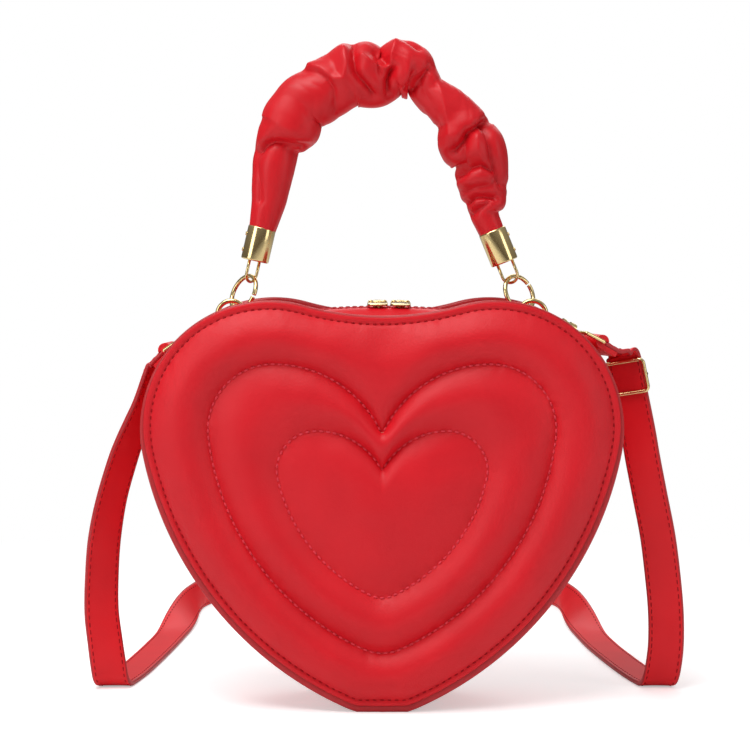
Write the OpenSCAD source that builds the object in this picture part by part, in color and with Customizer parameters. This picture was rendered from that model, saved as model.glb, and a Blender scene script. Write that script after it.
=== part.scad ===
// Heart shaped purse with a ruched top handle, a two-way zip and a clip-on shoulder strap.
// Millimetres. +X is to the wearer's right, +Y goes from the front to the back, +Z is up.
// The origin is the middle of the small flat that the bag stands on, under the heart's tip.

/* [Heart outline] */
// Distance between the centres of the two lobes
lobe_gap = 109; // [99:1:119]
// Radius of each lobe
lobe_r = 62; // [58:0.5:66]
// Height of the top of the lobes above the floor
lobe_top = 198; // [190:1:206]
// Radius of the hollow between the lobes
dip_r = 142; // [120:1:170]
// Radius of the long side curves
side_r = 170; // [163:1:183]
// Radius of the round tip
tip_r = 44; // [40:1:50]
// How far the round tip is pressed flat where it stands
tip_flat = 1.7; // [1:0.1:2.5]

/* [Bag body] */
// Depth of the bag over its flat front and back borders
bag_d = 62; // [54:1:72]
// Thickness of the cover leather
leather_t = 1.2; // [1:0.1:1.6]
// Thickness of the stiffening board
board_t = 1; // [0.8:0.1:1.6]
// Thickness of the lining cloth
lining_t = 0.5; // [0.4:0.1:0.8]
// Width of the border that stands out past the gusset
border_w = 6; // [5:0.5:7.5]
// Distance of the border's stitches from the edge
stitch_in = 4.2; // [3.5:0.1:5]
// Height of the padding in each quilted ring
puff_h = 5.5; // [3:0.5:8]
// Depth that is left over the padding at the quilting seams
seam_h = 1.8; // [1:0.1:3]

/* [Quilting hearts] */
// Half distance between the lobe tops of the outer seam
seam_a_x = 52; // [48:1:56]
// Height of the lobe tops of the outer seam
seam_a_top = 167.5; // [160:0.5:172]
// Lobe radius of the outer seam
seam_a_r = 31.5; // [28:0.5:34]
// Height of the outer seam's notch
seam_a_notch = 133.5; // [128:0.5:140]
// Height of the outer seam's tip
seam_a_tip = 29; // [24:1:34]
// Half distance between the lobe tops of the inner seam
seam_b_x = 31.5; // [28:0.5:34]
// Height of the lobe tops of the inner seam
seam_b_top = 135.5; // [130:0.5:140]
// Lobe radius of the inner seam
seam_b_r = 19; // [17:0.5:21]
// Height of the inner seam's notch
seam_b_notch = 116.5; // [112:0.5:120]
// Height of the inner seam's tip
seam_b_tip = 55.5; // [50:0.5:60]

/* [Zip] */
// Height of the zip at the middle of the bag
zip_z = 193.8; // [192:0.1:196]
// Radius of the arch that the zip runs along
zip_r = 400; // [380:5:450]
// Half width of the gap between the two leather strips
zip_half = 8; // [7.5:0.1:9.5]
// Half of the length from one ring tab to the other
zip_end = 62; // [59:1:64]
// Half width of the slit that the sliders' necks run in
slit = 0.7; // [0.6:0.05:0.9]
// Width of each row of teeth
coil_w = 1.6; // [1.4:0.1:2]
// Height of each row of teeth
coil_h = 1.4; // [1.2:0.1:1.6]
// Thickness of the zip tape
tape_t = 0.6; // [0.5:0.1:0.8]
// Length of a slider
slider_l = 10.5; // [9:0.5:12]
// Width of a slider
slider_w = 8; // [7:0.5:9]
// Length of a pull tab from its hinge
pull_l = 13; // [10:0.5:15]
// Width of a pull tab
pull_w = 6.5; // [5.5:0.5:7.5]

/* [Rings and tabs] */
// Place of the ring tabs, as a share of the bag's half width
tab_share = 0.6395; // [0.6275:0.0005:0.6525]
// Width of the leather ring tabs
tab_w = 4; // [4:0.5:5]
// Wire diameter of the half-round rings
loop_wire = 2.4; // [2.2:0.1:2.5]
// Bow radius of the half-round rings, to the middle of the wire
loop_r = 6.8; // [6.6:0.1:7.4]
// Outside diameter of the round rings
ring_d = 20.5; // [19.5:0.5:22]
// Wire diameter of the round rings
ring_wire = 2.2; // [2:0.1:2.4]
// Turn of the left ring about its upright line
ring_turn_l = 55; // [50:1:60]
// Turn of the right ring about its upright line
ring_turn_r = 45; // [44:1:50]
// Lean of the left ring towards the middle
ring_lean_l = 28; // [22:1:30]
// Lean of the right ring towards the middle
ring_lean_r = 30; // [24:1:32]

/* [Handle] */
// Outside diameter of the metal end caps
cap_d = 13.8; // [13:0.1:14.4]
// Length of the metal end caps
cap_l = 17; // [15:0.5:19]
// Lean of the left cap
cap_lean_l = 13; // [10:1:16]
// Lean of the right cap
cap_lean_r = 22; // [19:1:25]
// Wire diameter of the bails under the caps
bail_wire = 1.5; // [1.3:0.1:1.7]
// Inside width of the bails
bail_in = 6.7; // [6.2:0.1:7]
// Clear length of the bails under the caps
bail_l = 10.5; // [9.5:0.5:12]
// Height of the handle's arch over the caps
arch_h = 76; // [66:1:86]
// Diameter of the rope core inside the handle
core_d = 8; // [7:0.5:9]
// Scale of the ruched sleeve's thickness
sleeve_k = 1; // [0.9:0.05:1.1]

/* [Shoulder strap] */
// Width of the strap
strap_w = 18; // [16:0.5:19]
// Thickness of the strap
strap_t = 2.4; // [2:0.1:2.8]
// Length of the stitched fold under each hook's eye
fold_l = 8; // [7:0.5:9]
// Wire diameter of the adjuster slide and the hook eyes
slide_wire = 2; // [1.8:0.1:2.2]
// Height of the adjuster slide
slide_h = 18; // [17:0.5:19]
// Travel of the adjuster slide down the straight run
slide_run = 16; // [10:1:17]
// Radius of the hooks' round noses
hook_r = 4.8; // [4.7:0.1:5]
// Wire diameter of the hooks' noses
hook_wire = 2; // [1.8:0.1:2]
// Outside diameter of the hooks' swivel barrels
barrel_d = 6; // [5.6:0.1:6]

/* [Clearances] */
// Gap between loose pieces
gap = 0.3; // [0.2:0.05:0.4]
// Radial clearance of a turning fit
run_fit = 0.07; // [0.03:0.01:0.1]

/* [Hidden] */

red = "#cc2229";
dark_red = "#8e1218";
gold = "#d9b978";
tan_cloth = "#b89b7c";
grey = "#8c8c8c";
foam_col = "#e8dcc0";

lobe_x = lobe_gap / 2;
tab_x = tab_share * (lobe_x + lobe_r);
// The strap's measured places are for a half width of 116.5 mm and grow with it
row_k = (lobe_x + lobe_r) / 116.5;
lobe_z = lobe_top - lobe_r;
rim = bag_d / 2;
board_y = rim - leather_t;
lining_y = board_y - board_t;
flange_y = lining_y - lining_t;
inner_y = flange_y - leather_t;

// ---- Outlines made of tangent arcs -------------------------------------------------------

// Number of steps along the hollow, the lobe, the side and the tip of half an outline
n_dip = 4;
n_lobe = 10;
n_side = 6;
n_tip = 4;
n_ring = 2 * (n_dip + n_lobe + n_side + n_tip);

function arc(c, r, a0, a1, n) =
    [for (i = [0 : n - 1]) let (a = a0 + (a1 - a0) * i / n) [c[0] + r * cos(a), c[1] + r * sin(a)]];

// Centre of the circle of radius r that both circles (c1, r1) and (c2, r2) touch from inside
function side_centre(c1, r1, c2, r2, r) =
    let (a = r - r1, b = r - r2, v = c2 - c1, d = norm(v),
         t = (a * a - b * b + d * d) / (2 * d), h = sqrt(a * a - t * t))
    [c1[0] + (v[0] * t + v[1] * h) / d, c1[1] + (v[1] * t - v[0] * h) / d];

// Right half from the top middle to the bottom middle: lobe, side and tip after a given top arc
function below_top(top_pts, lc, lr, a_top, tc, tr, sr) =
    let (sc = side_centre(lc, lr, tc, tr, sr),
         a_side = atan2(lc[1] - sc[1], lc[0] - sc[0]),
         a_tip = atan2(tc[1] - sc[1], tc[0] - sc[0]))
    concat(top_pts, arc(lc, lr, a_top, a_side, n_lobe), arc(sc, sr, a_side, a_tip, n_side),
        arc(tc, tr, a_tip, -90, n_tip), [[0, tc[1] - tr]]);

function mirrored(half) =
    concat(half, [for (i = [len(half) - 2 : -1 : 1]) [-half[i][0], half[i][1]]]);

function dip_z() = lobe_z + sqrt(pow(lobe_r + dip_r, 2) - lobe_x * lobe_x);
tip_z = tip_r - tip_flat;

// The heart, moved inwards by d; a parallel curve keeps every centre and changes the radii
function heart(d = 0) =
    let (a4 = asin(lobe_x / (lobe_r + dip_r)),
         top = arc([0, dip_z()], dip_r + d, -90, -90 + a4, n_dip),
         half = below_top(top, [lobe_x, lobe_z], lobe_r - d, 90 + a4, [0, tip_z], tip_r - d, side_r - d))
    [for (p = mirrored(half)) [p[0], max(d, p[1])]];

// A quilting heart with a sharp notch: its lobes' inner arcs run down to the notch
function seam_heart(x, top, r, notch, tip, tr, sr) =
    let (h = top - notch, ra = (x * x + h * h) / (2 * h), a0 = atan2(notch - top + ra, -x),
         inner = arc([x, top - ra], ra, a0, 90, n_dip))
    mirrored(below_top(inner, [x, top - r], r, 90, [0, tip + tr], tr, sr));

seam_a = seam_heart(seam_a_x, seam_a_top, seam_a_r, seam_a_notch, seam_a_tip, 22, 128);
seam_b = seam_heart(seam_b_x, seam_b_top, seam_b_r, seam_b_notch, seam_b_tip, 12, 82);
centre = [for (p = seam_b) [p[0] * 0.12, seam_b_notch - 14 + (p[1] - seam_b_notch + 14) * 0.12]];

// Height of the heart's upper edge over x, moved inwards by d
function top_z(x, d) =
    abs(x) < lobe_x * (dip_r + d) / (lobe_r + dip_r)
        ? dip_z() - sqrt(pow(dip_r + d, 2) - x * x)
        : lobe_z + sqrt(pow(lobe_r - d, 2) - pow(abs(x) - lobe_x, 2));

// Height of the zip's arch over x
function zip_arch(x) = zip_z - zip_r + sqrt(zip_r * zip_r - x * x);

// ---- Quilted covers ----------------------------------------------------------------------

function mix(a, b, t) = a * (1 - t) + b * t;
function mix_ring(a, b, t) = [for (i = [0 : len(a) - 1]) mix(a[i], b[i], t)];

// Rings of the quilted face from the edge to the middle, each with its height over the border
steps = 4;
function band(a, b, ha, hb) =
    [for (k = [1 : steps]) let (t = k / steps)
        [mix_ring(a, b, t), mix(ha, hb, t) + puff_h * pow(sin(180 * t), 0.7)]];
padded_rings = concat([[heart(stitch_in), 0]], band(heart(stitch_in), seam_a, 0, seam_h),
    band(seam_a, seam_b, seam_h, seam_h), [[mix_ring(seam_b, centre, 0.35), seam_h + puff_h * 0.8],
    [centre, seam_h + puff_h]]);
cover_rings = concat([[heart(0), 0]], padded_rings);

function ring_points(rings, y) = [for (r = rings) each [for (p = r[0]) [p[0], -y - r[1], p[1]]]];
function quads(n_rows, first, flip) =
    [for (j = [0 : n_rows - 2]) for (i = [0 : n_ring - 1])
        let (a = first + j * n_ring + i, b = first + j * n_ring + (i + 1) % n_ring, c = b + n_ring,
             d = a + n_ring)
        each flip ? [[a, c, b], [a, d, c]] : [[a, b, c], [a, c, d]]];
function loop_face(first, flip) =
    [flip ? [for (i = [n_ring - 1 : -1 : 0]) first + i] : [for (i = [0 : n_ring - 1]) first + i]];

// A skin of the cover's thickness: the quilted face outside and the same face inside
module quilted_skin() {
    n = len(cover_rings);
    inside = n * n_ring;
    polyhedron(concat(ring_points(cover_rings, rim), ring_points(cover_rings, rim - leather_t)),
        concat(quads(n, 0, false), loop_face(inside - n_ring, false),
            quads(n, inside, true), loop_face(inside + inside - n_ring, true),
            [for (i = [0 : n_ring - 1]) let (j = (i + 1) % n_ring)
                each [[i, inside + i, inside + j], [i, inside + j, j]]]), convexity = 6);
}

// The padding fills what is left between the board and the skin
module quilted_padding() {
    n = len(padded_rings);
    polyhedron(ring_points(padded_rings, board_y),
        concat(quads(n, 0, false), loop_face((n - 1) * n_ring, false), loop_face(0, true)),
        convexity = 6);
}

module to_back() { mirror([0, 1, 0]) children(); }

// A heart plate or ring standing upright, from y0 towards the back by t
module plate(outline, y0, t) {
    translate([0, y0 + t, 0]) rotate([90, 0, 0]) linear_extrude(t) polygon(outline);
}

module front_cover() { color(red) quilted_skin(); }
module front_foam() { color(foam_col) quilted_padding(); }
module front_board() { color(grey) plate(heart(0), -board_y, board_t); }
module front_lining() { color(tan_cloth) plate(heart(0), -lining_y, lining_t); }
module back_cover() { color(red) to_back() quilted_skin(); }
module back_foam() { color(foam_col) to_back() quilted_padding(); }
module back_board() { color(grey) to_back() plate(heart(0), -board_y, board_t); }
module back_lining() { color(tan_cloth) to_back() plate(heart(0), -lining_y, lining_t); }

// ---- Gusset ------------------------------------------------------------------------------

// The side gusset ends and the zip strips begin at this distance from the middle
join_x = tab_x + 6.5;

// Everything above the waist between the two joins, which belongs to the zip strips
module top_window() {
    translate([-join_x, -bag_d, lobe_z]) cube([2 * join_x, 2 * bag_d, lobe_top]);
}

module heart_ring(d_out, d_in, y0, t) {
    difference() {
        plate(heart(d_out), y0, t);
        plate(heart(d_in), y0 - 1, t + 2);
    }
}

// Its two ends are sewn together under the tip with their allowance outwards, as a low keel
module gusset() {
    color(red) difference() {
        union() {
            heart_ring(border_w, border_w + leather_t, -flange_y, 2 * flange_y);
            heart_ring(0, border_w + leather_t, -flange_y, leather_t);
            heart_ring(0, border_w + leather_t, inner_y, leather_t);
            translate([-leather_t, -flange_y, 0]) cube([2 * leather_t, 2 * flange_y, border_w + leather_t]);
        }
        top_window();
    }
}

module gusset_lining() {
    lining_in = border_w + leather_t;
    color(tan_cloth) difference() {
        heart_ring(lining_in, lining_in + lining_t, -flange_y, 2 * flange_y);
        top_window();
    }
}

// Slip pocket for cards, sewn to the back lining along its sides and foot
pocket_w = 90;
pocket_h = 70;
pocket_t = 1;
pocket_z = 60;
module pocket() {
    color(tan_cloth) translate([-pocket_w / 2, flange_y - pocket_t, pocket_z])
        cube([pocket_w, pocket_t, pocket_h]);
}

// ---- Zip ---------------------------------------------------------------------------------

lip = 3;
n_strip = 38;

// Section of a zip strip at x: the flange behind the border, the slope, and the lip at the zip
function strip_section(x) = let (c = top_z(x, border_w), a = zip_arch(x)) [
    [x, -flange_y, top_z(x, 0)], [x, -inner_y, top_z(x, 0)], [x, -inner_y, c],
    [x, -zip_half - lip, a], [x, -zip_half, a], [x, -zip_half, a - leather_t],
    [x, -zip_half - lip, a - leather_t], [x, -inner_y, c - leather_t], [x, -flange_y, c - leather_t]];

module zip_strip() {
    m = len(strip_section(0));
    points = [for (i = [0 : n_strip]) each strip_section(-join_x + 2 * join_x * i / n_strip)];
    sides = [for (i = [0 : n_strip - 1]) for (j = [0 : m - 1])
        let (a = i * m + j, b = i * m + (j + 1) % m)
        each [[a, b + m, b], [a, a + m, b + m]]];
    ends = [[for (j = [0 : m - 1]) j], [for (j = [m - 1 : -1 : 0]) n_strip * m + j]];
    polyhedron(points, concat(sides, ends), convexity = 8);
}

// A bar along the zip's arch: r0 to r1 from the strips' top face, y0 to y1, out to x = reach
module arch_bar(r0, r1, y0, y1, reach) {
    half = asin(reach / zip_r);
    translate([0, 0, zip_z - zip_r]) rotate([90, 0, 0]) rotate([0, 0, 90 - half])
        rotate_extrude(angle = 2 * half, $fn = 720)
            translate([zip_r + r0, -y1]) square([r1 - r0, y1 - y0]);
}

tape_top = -leather_t;
tape_reach = join_x - 2;
teeth_top = tape_top + coil_h;

module zip_strip_front() { color(red) zip_strip(); }
module zip_strip_back() { color(red) to_back() zip_strip(); }
module zip_tape_half() { arch_bar(tape_top - tape_t, tape_top, -zip_half - lip, -slit, tape_reach); }
module zip_tape_front() { color(dark_red) zip_tape_half(); }
module zip_tape_back() { color(dark_red) to_back() zip_tape_half(); }
module teeth_half() { arch_bar(tape_top, teeth_top, -slit - coil_w, -slit, zip_end); }
module zip_teeth_front() { color(dark_red) teeth_half(); }
module zip_teeth_back() { color(dark_red) to_back() teeth_half(); }

// Moves children from the top of the arch to the place over x
module on_arch(x) {
    translate([0, 0, zip_z - zip_r]) rotate([0, asin(x / zip_r), 0]) translate([0, 0, zip_r]) children();
}

stop_l = 2.5;
module zip_stops() {
    color(gold) for (s = [-1, 1]) on_arch(s * (zip_end + gap + stop_l / 2))
        translate([-stop_l / 2, -slit - coil_w, tape_top])
            cube([stop_l, 2 * (slit + coil_w), coil_h]);
}

plate_t = 1;
neck_w = 0.8;
pin_d = 1;
hub_d = 2.2;
hub_l = 4;
top_plate = teeth_top + gap;
under_plate = tape_top - tape_t - gap;
pin_z = top_plate + plate_t + hub_d / 2 + 0.15;
post_l = 1.2;

// Top and bottom plates joined by the neck in the slit, with a bridge that holds the pull tab
module slider() {
    translate([-slider_l / 2, -slider_w / 2, top_plate]) cube([slider_l, slider_w, plate_t]);
    translate([-slider_l / 2, -slider_w / 2, under_plate - plate_t]) cube([slider_l, slider_w, plate_t]);
    translate([-slider_l / 4, -neck_w / 2, under_plate - plate_t / 2])
        cube([slider_l / 2, neck_w, top_plate - under_plate + plate_t]);
    for (s = [-1, 1]) translate([s * (hub_l / 2 + gap + post_l / 2) - post_l / 2, -hub_d / 2, top_plate])
        cube([post_l, hub_d, pin_z - top_plate + pin_d / 2 + 0.3]);
    translate([-hub_l / 2 - gap - post_l / 2, 0, pin_z]) rotate([0, 90, 0])
        cylinder(h = hub_l + 2 * gap + post_l, d = pin_d, $fn = 24);
}

// Flat tab on a hub round the slider's pin, lying towards the front
pull_t = 1;
module pull() {
    difference() {
        union() {
            translate([-hub_l / 2, 0, pin_z]) rotate([0, 90, 0]) cylinder(h = hub_l, d = hub_d, $fn = 32);
            translate([-hub_l / 2, -4, pin_z - pull_t / 2]) cube([hub_l, 4, pull_t]);
            translate([0, -4, pin_z - pull_t / 2]) linear_extrude(pull_t) polygon([
                [-hub_l / 2, 0.4], [hub_l / 2, 0.4], [pull_w / 2, -2], [pull_w / 2, 6.5 - pull_l],
                [pull_w / 3, 4 - pull_l], [-pull_w / 3, 4 - pull_l], [-pull_w / 2, 6.5 - pull_l],
                [-pull_w / 2, -2]]);
        }
        translate([-hub_l, 0, pin_z]) rotate([0, 90, 0])
            cylinder(h = 2 * hub_l, d = pin_d + 2 * run_fit, $fn = 24);
    }
}

slider_x = slider_l / 2 + 0.4;
// The pair has met a little right of the middle, and the pull tabs droop towards the front
pair_x = 3.5;
pull_droop = 6;
module drooped() {
    translate([0, 0, pin_z]) rotate([pull_droop, 0, 0]) translate([0, 0, -pin_z]) children();
}
module slider_left() { color(gold) on_arch(pair_x - slider_x) slider(); }
module slider_right() { color(gold) on_arch(pair_x + slider_x) slider(); }
module pull_left() { color(gold) on_arch(pair_x - slider_x) drooped() pull(); }
module pull_right() { color(gold) on_arch(pair_x + slider_x) drooped() pull(); }

// ---- Tabs, loops and rings ---------------------------------------------------------------

module rod(a, b, r) {
    v = b - a;
    translate(a) rotate([0, acos(v[2] / norm(v)), atan2(v[1], v[0])])
        cylinder(h = norm(v), r = r, $fn = 32);
}

module ball(p, r) { translate(p) sphere(r = r, $fn = 32); }

tab_z = zip_arch(tab_x) + gap;
tab_tilt = 12;
tab_l = 26;
bar_z = tab_z + leather_t + gap;
bow_z = bar_z + 0.6;
loop_top = bow_z + loop_r;

// Leather strip sewn down across the zip, with a fold over the half-round ring's bar
module tab(s) {
    hump = loop_wire / 2 + leather_t;
    difference() {
        union() {
            translate([s * tab_x, -tab_l / 2, tab_z]) rotate([0, s * tab_tilt, 0])
                translate([-tab_w / 2, 0, 0]) cube([tab_w, tab_l, leather_t]);
            intersection() {
                translate([s * tab_x - tab_w / 2, 0, bar_z]) rotate([0, 90, 0])
                    cylinder(h = tab_w, r = hump, $fn = 48);
                translate([s * tab_x, -tab_l / 2, tab_z]) rotate([0, s * tab_tilt, 0])
                    translate([-tab_w, 0, 0]) cube([2 * tab_w, tab_l, tab_l]);
            }
        }
        translate([s * tab_x - tab_w, 0, bar_z]) rotate([0, 90, 0])
            cylinder(h = 2 * tab_w, r = loop_wire / 2 + run_fit, $fn = 48);
    }
}

// Half-round ring facing the front: a bar through the tab, two short legs and a bow
module half_ring(s) {
    w = loop_wire / 2;
    translate([s * tab_x, 0, 0]) {
        rod([-loop_r, 0, bar_z], [loop_r, 0, bar_z], w);
        for (t = [-1, 1]) {
            ball([t * loop_r, 0, bar_z], w);
            rod([t * loop_r, 0, bar_z], [t * loop_r, 0, bow_z], w);
        }
        translate([0, 0, bow_z]) rotate([90, 0, 0])
            rotate_extrude(angle = 180, $fn = 72) translate([loop_r, 0]) circle(d = loop_wire, $fn = 24);
    }
}

module tab_left() { color(red) tab(-1); }
module tab_right() { color(red) tab(1); }
module loop_left() { color(gold) half_ring(-1); }
module loop_right() { color(gold) half_ring(1); }

ring_y = 0;
ring_r = (ring_d - ring_wire) / 2;
ring_foot = loop_r - loop_wire / 2 - ring_wire / 2 - 2 * gap;
split = 1;

function ring_lean(s) = s < 0 ? ring_lean_l : ring_lean_r;
// A point on the line that a ring leans along, h above the middle of the half-round ring's bow
function lean_point(s, h) = [s * (tab_x - h * sin(ring_lean(s))), ring_y, bow_z + h * cos(ring_lean(s))];

// Places its children at the foot of a ring, leaned towards the middle
module at_ring_foot(s) {
    translate(lean_point(s, ring_foot)) rotate([0, -s * ring_lean(s), 0]) children();
}

// Round ring of wire with a narrow split at its inner side
module round_ring(s, turn) {
    at_ring_foot(s) rotate([0, 0, turn]) translate([0, 0, ring_r]) rotate([90, 0, 0])
        rotate([0, 0, 12]) rotate_extrude(angle = 360 - 360 * split / (PI * 2 * ring_r), $fn = 96)
            translate([ring_r, 0]) circle(d = ring_wire, $fn = 24);
}
module ring_left() { color(gold) round_ring(-1, -ring_turn_l); }
module ring_right() { color(gold) round_ring(1, ring_turn_r); }

// ---- Handle ------------------------------------------------------------------------------

// The bail hangs on the ring's highest wire
hang = ring_wire / 2 + bail_wire / 2 + 0.85;
function bail_foot(s) = lean_point(s, ring_foot + 2 * ring_r - hang);

// Places its children on the handle's end axis: z runs from the bail's foot up into the cap
module at_cap(s, lean) { translate(bail_foot(s)) rotate([0, -s * lean, 0]) children(); }
function cap_point(s, lean, h) = bail_foot(s) + h * [-s * sin(lean), 0, cos(lean)];

bail_r = (bail_in + bail_wire) / 2;
bail_seat = 3;
cap_wall = 0.8;
cap_floor = 3.5;

// Bent wire loop whose two legs are held in the cap's floor
module bail(s, lean, turn) {
    at_cap(s, lean) rotate([0, 0, turn]) {
        translate([0, 0, bail_r]) rotate([90, 0, 0]) rotate([0, 0, 180])
            rotate_extrude(angle = 180, $fn = 64) translate([bail_r, 0]) circle(d = bail_wire, $fn = 24);
        for (t = [-1, 1]) translate([t * bail_r, 0, bail_r])
            cylinder(h = bail_l - bail_r + bail_seat, d = bail_wire, $fn = 24);
    }
}

screw_d = 1.8;
screw_h = [4.5, 12.5];

// Metal cap: a floor with two holes for the bail, and a round cup for the handle's end
module cap(s, lean, turn) {
    at_cap(s, lean) difference() {
        translate([0, 0, bail_l]) cylinder(h = cap_l, d = cap_d, $fn = 72);
        translate([0, 0, bail_l + cap_floor]) cylinder(h = cap_l, d = cap_d - 2 * cap_wall, $fn = 72);
        rotate([0, 0, turn]) for (t = [-1, 1]) translate([t * bail_r, 0, bail_l - 1])
            cylinder(h = bail_seat + 1, d = bail_wire, $fn = 24);
        screw_rows(s) cylinder(h = 4 * cap_wall, d = screw_d, center = true, $fn = 24);
    }
}

// Two places in line on the outer side of a cap, z pointing out through the wall's middle
module screw_rows(s) {
    for (h = screw_h) translate([0, 0, bail_l + h]) rotate([0, s * 90, 0])
        translate([0, 0, (cap_d - cap_wall) / 2]) children();
}
module screw() { translate([0, 0, -cap_wall / 2 + 0.05]) cylinder(h = cap_wall + 0.4, d = screw_d, $fn = 24); }

bail_turn_l = 56;
bail_turn_r = -25;
module bail_left() { color(gold) bail(-1, cap_lean_l, bail_turn_l); }
module bail_right() { color(gold) bail(1, cap_lean_r, bail_turn_r); }
module cap_left() { color(gold) cap(-1, cap_lean_l, bail_turn_l); }
module cap_right() { color(gold) cap(1, cap_lean_r, bail_turn_r); }
module cap_screws() {
    color(gold) {
        at_cap(-1, cap_lean_l) screw_rows(-1) screw();
        at_cap(1, cap_lean_r) screw_rows(1) screw();
    }
}

// Middle line and radius of the ruched sleeve: across the arch, up the arch, and radius
sleeve_rows = [[-0.97, 0.21, 9.4], [-0.92, 0.46, 12], [-0.84, 0.63, 14], [-0.7, 0.79, 15],
    [-0.49, 0.89, 14.5], [-0.24, 0.97, 14.5], [0.01, 0.96, 13.5], [0.22, 1, 14.5], [0.46, 0.85, 9.5],
    [0.73, 0.68, 11.5], [0.85, 0.54, 14], [0.905, 0.38, 13.5], [0.93, 0.215, 11], [0.92, 0.09, 8]];
cup_r = cap_d / 2 - cap_wall - 0.1;
left_in = cap_point(-1, cap_lean_l, bail_l + cap_floor + 0.2);
left_out = cap_point(-1, cap_lean_l, bail_l + cap_l + 1);
right_in = cap_point(1, cap_lean_r, bail_l + cap_floor + 0.2);
right_out = cap_point(1, cap_lean_r, bail_l + cap_l + 1);
arch_mid = (left_out[0] + right_out[0]) / 2;
arch_half = (right_out[0] - left_out[0]) / 2;
sleeve_path = concat([[left_in[0], left_in[2], cup_r], [left_out[0], left_out[2], cup_r]],
    [for (p = sleeve_rows) [arch_mid + arch_half * p[0], left_out[2] + arch_h * p[1], p[2] * sleeve_k]],
    [[right_out[0], right_out[2], cup_r], [right_in[0], right_in[2], cup_r]]);

// Smooth curve through the rows above, k points between each two
function spline(p, i, t) =
    let (n = len(p) - 1, a = p[max(i - 1, 0)], b = p[i], c = p[min(i + 1, n)], d = p[min(i + 2, n)])
    0.5 * (2 * b + (c - a) * t + (2 * a - 5 * b + 4 * c - d) * t * t + (3 * b - a - 3 * c + d) * t * t * t);
smooth_k = 3;
sleeve_fine = [for (i = [0 : len(sleeve_path) - 2]) each [for (k = [0 : smooth_k - 1])
    spline(sleeve_path, i, k / smooth_k)]];
sleeve_line = concat(sleeve_fine, [sleeve_path[len(sleeve_path) - 1]]);

sleeve_sides = 16;
function path_dir(p, i) =
    let (a = p[max(i - 1, 0)], b = p[min(i + 1, len(p) - 1)], v = [b[0] - a[0], b[1] - a[1]])
    v / norm(v);
function tube_ring(p, i, r) = let (d = path_dir(p, i))
    [for (k = [0 : sleeve_sides - 1]) let (a = 360 * k / sleeve_sides)
        [p[i][0] - d[1] * r * cos(a), ring_y + r * sin(a), p[i][1] + d[0] * r * cos(a)]];

function tube_faces(n, first, flip) = [for (j = [0 : n - 2]) for (k = [0 : sleeve_sides - 1])
    let (a = first + j * sleeve_sides + k, b = first + j * sleeve_sides + (k + 1) % sleeve_sides,
         c = b + sleeve_sides, d = a + sleeve_sides)
    each flip ? [[a, c, b], [a, d, c]] : [[a, b, c], [a, c, d]]];

// The sleeve is one closed wall: outer rings, inner rings round the core, and the two end rims
module handle_sleeve() {
    n = len(sleeve_line);
    m = n * sleeve_sides;
    outer = [for (i = [0 : n - 1]) each tube_ring(sleeve_line, i, sleeve_line[i][2])];
    inner = [for (i = [0 : n - 1]) each tube_ring(sleeve_line, i, core_d / 2 + 0.1)];
    rims = [for (k = [0 : sleeve_sides - 1]) let (j = (k + 1) % sleeve_sides, e = m - sleeve_sides)
        each [[k, m + j, j], [k, m + k, m + j], [e + k, e + j, m + e + j], [e + k, m + e + j, m + e + k]]];
    color(red) polyhedron(concat(outer, inner),
        concat(tube_faces(n, 0, false), tube_faces(n, m, true), rims), convexity = 8);
}

module handle_core() {
    n = len(sleeve_line);
    color(tan_cloth) polyhedron([for (i = [0 : n - 1]) each tube_ring(sleeve_line, i, core_d / 2)],
        concat(tube_faces(n, 0, false), [[for (k = [sleeve_sides - 1 : -1 : 0]) k],
            [for (k = [0 : sleeve_sides - 1]) (n - 1) * sleeve_sides + k]]), convexity = 8);
}

// ---- Hooks and shoulder strap -------------------------------------------------------------

// Everything here is built on the left side; the right side's has its own angles (the second of
// each pair) and is then mirrored. A hook's z axis starts at the middle of its nose wire inside the
// half-round ring and runs out along the shank.
turn = [6.1, 18];
droop = [123, 115.6];
hook_l = 33.5;
nose = [-tab_x - loop_r + 3.4, 0, bar_z + 2.5];
function hook_dir(k) = [-sin(droop[k]) * cos(turn[k]), sin(droop[k]) * sin(turn[k]), cos(droop[k])];
function eye_bar(k) = nose + hook_l * hook_dir(k);
module at_hook(k) { translate(nose) rotate([0, 0, -turn[k]]) rotate([0, -droop[k], 0]) children(); }
module to_right() { mirror([1, 0, 0]) children(); }

// Angles round the nose's middle, from the side where the gate is: hinge and closing ends
gate_hinge = 66;
gate_tip = -38;
hinge_y = hook_r * cos(gate_hinge);
hinge_z = hook_r + hook_r * sin(gate_hinge);
cheek_gap = 1.8;
cheek_t = 0.8;
barrel_z = 13;
barrel_l = 7.6;
window_z = 14.6;
window_h = 2.8;
stem_d = 1.8;
head_d = 3.6;

// Part of the round nose in the YZ plane, from angle a0 to a1
module nose_arc(wire, a0, a1) {
    translate([0, 0, hook_r]) rotate([90, 0, 90]) rotate([0, 0, a0])
        rotate_extrude(angle = a1 - a0, $fn = 72) translate([hook_r, 0]) circle(d = wire, $fn = 24);
}

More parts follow.
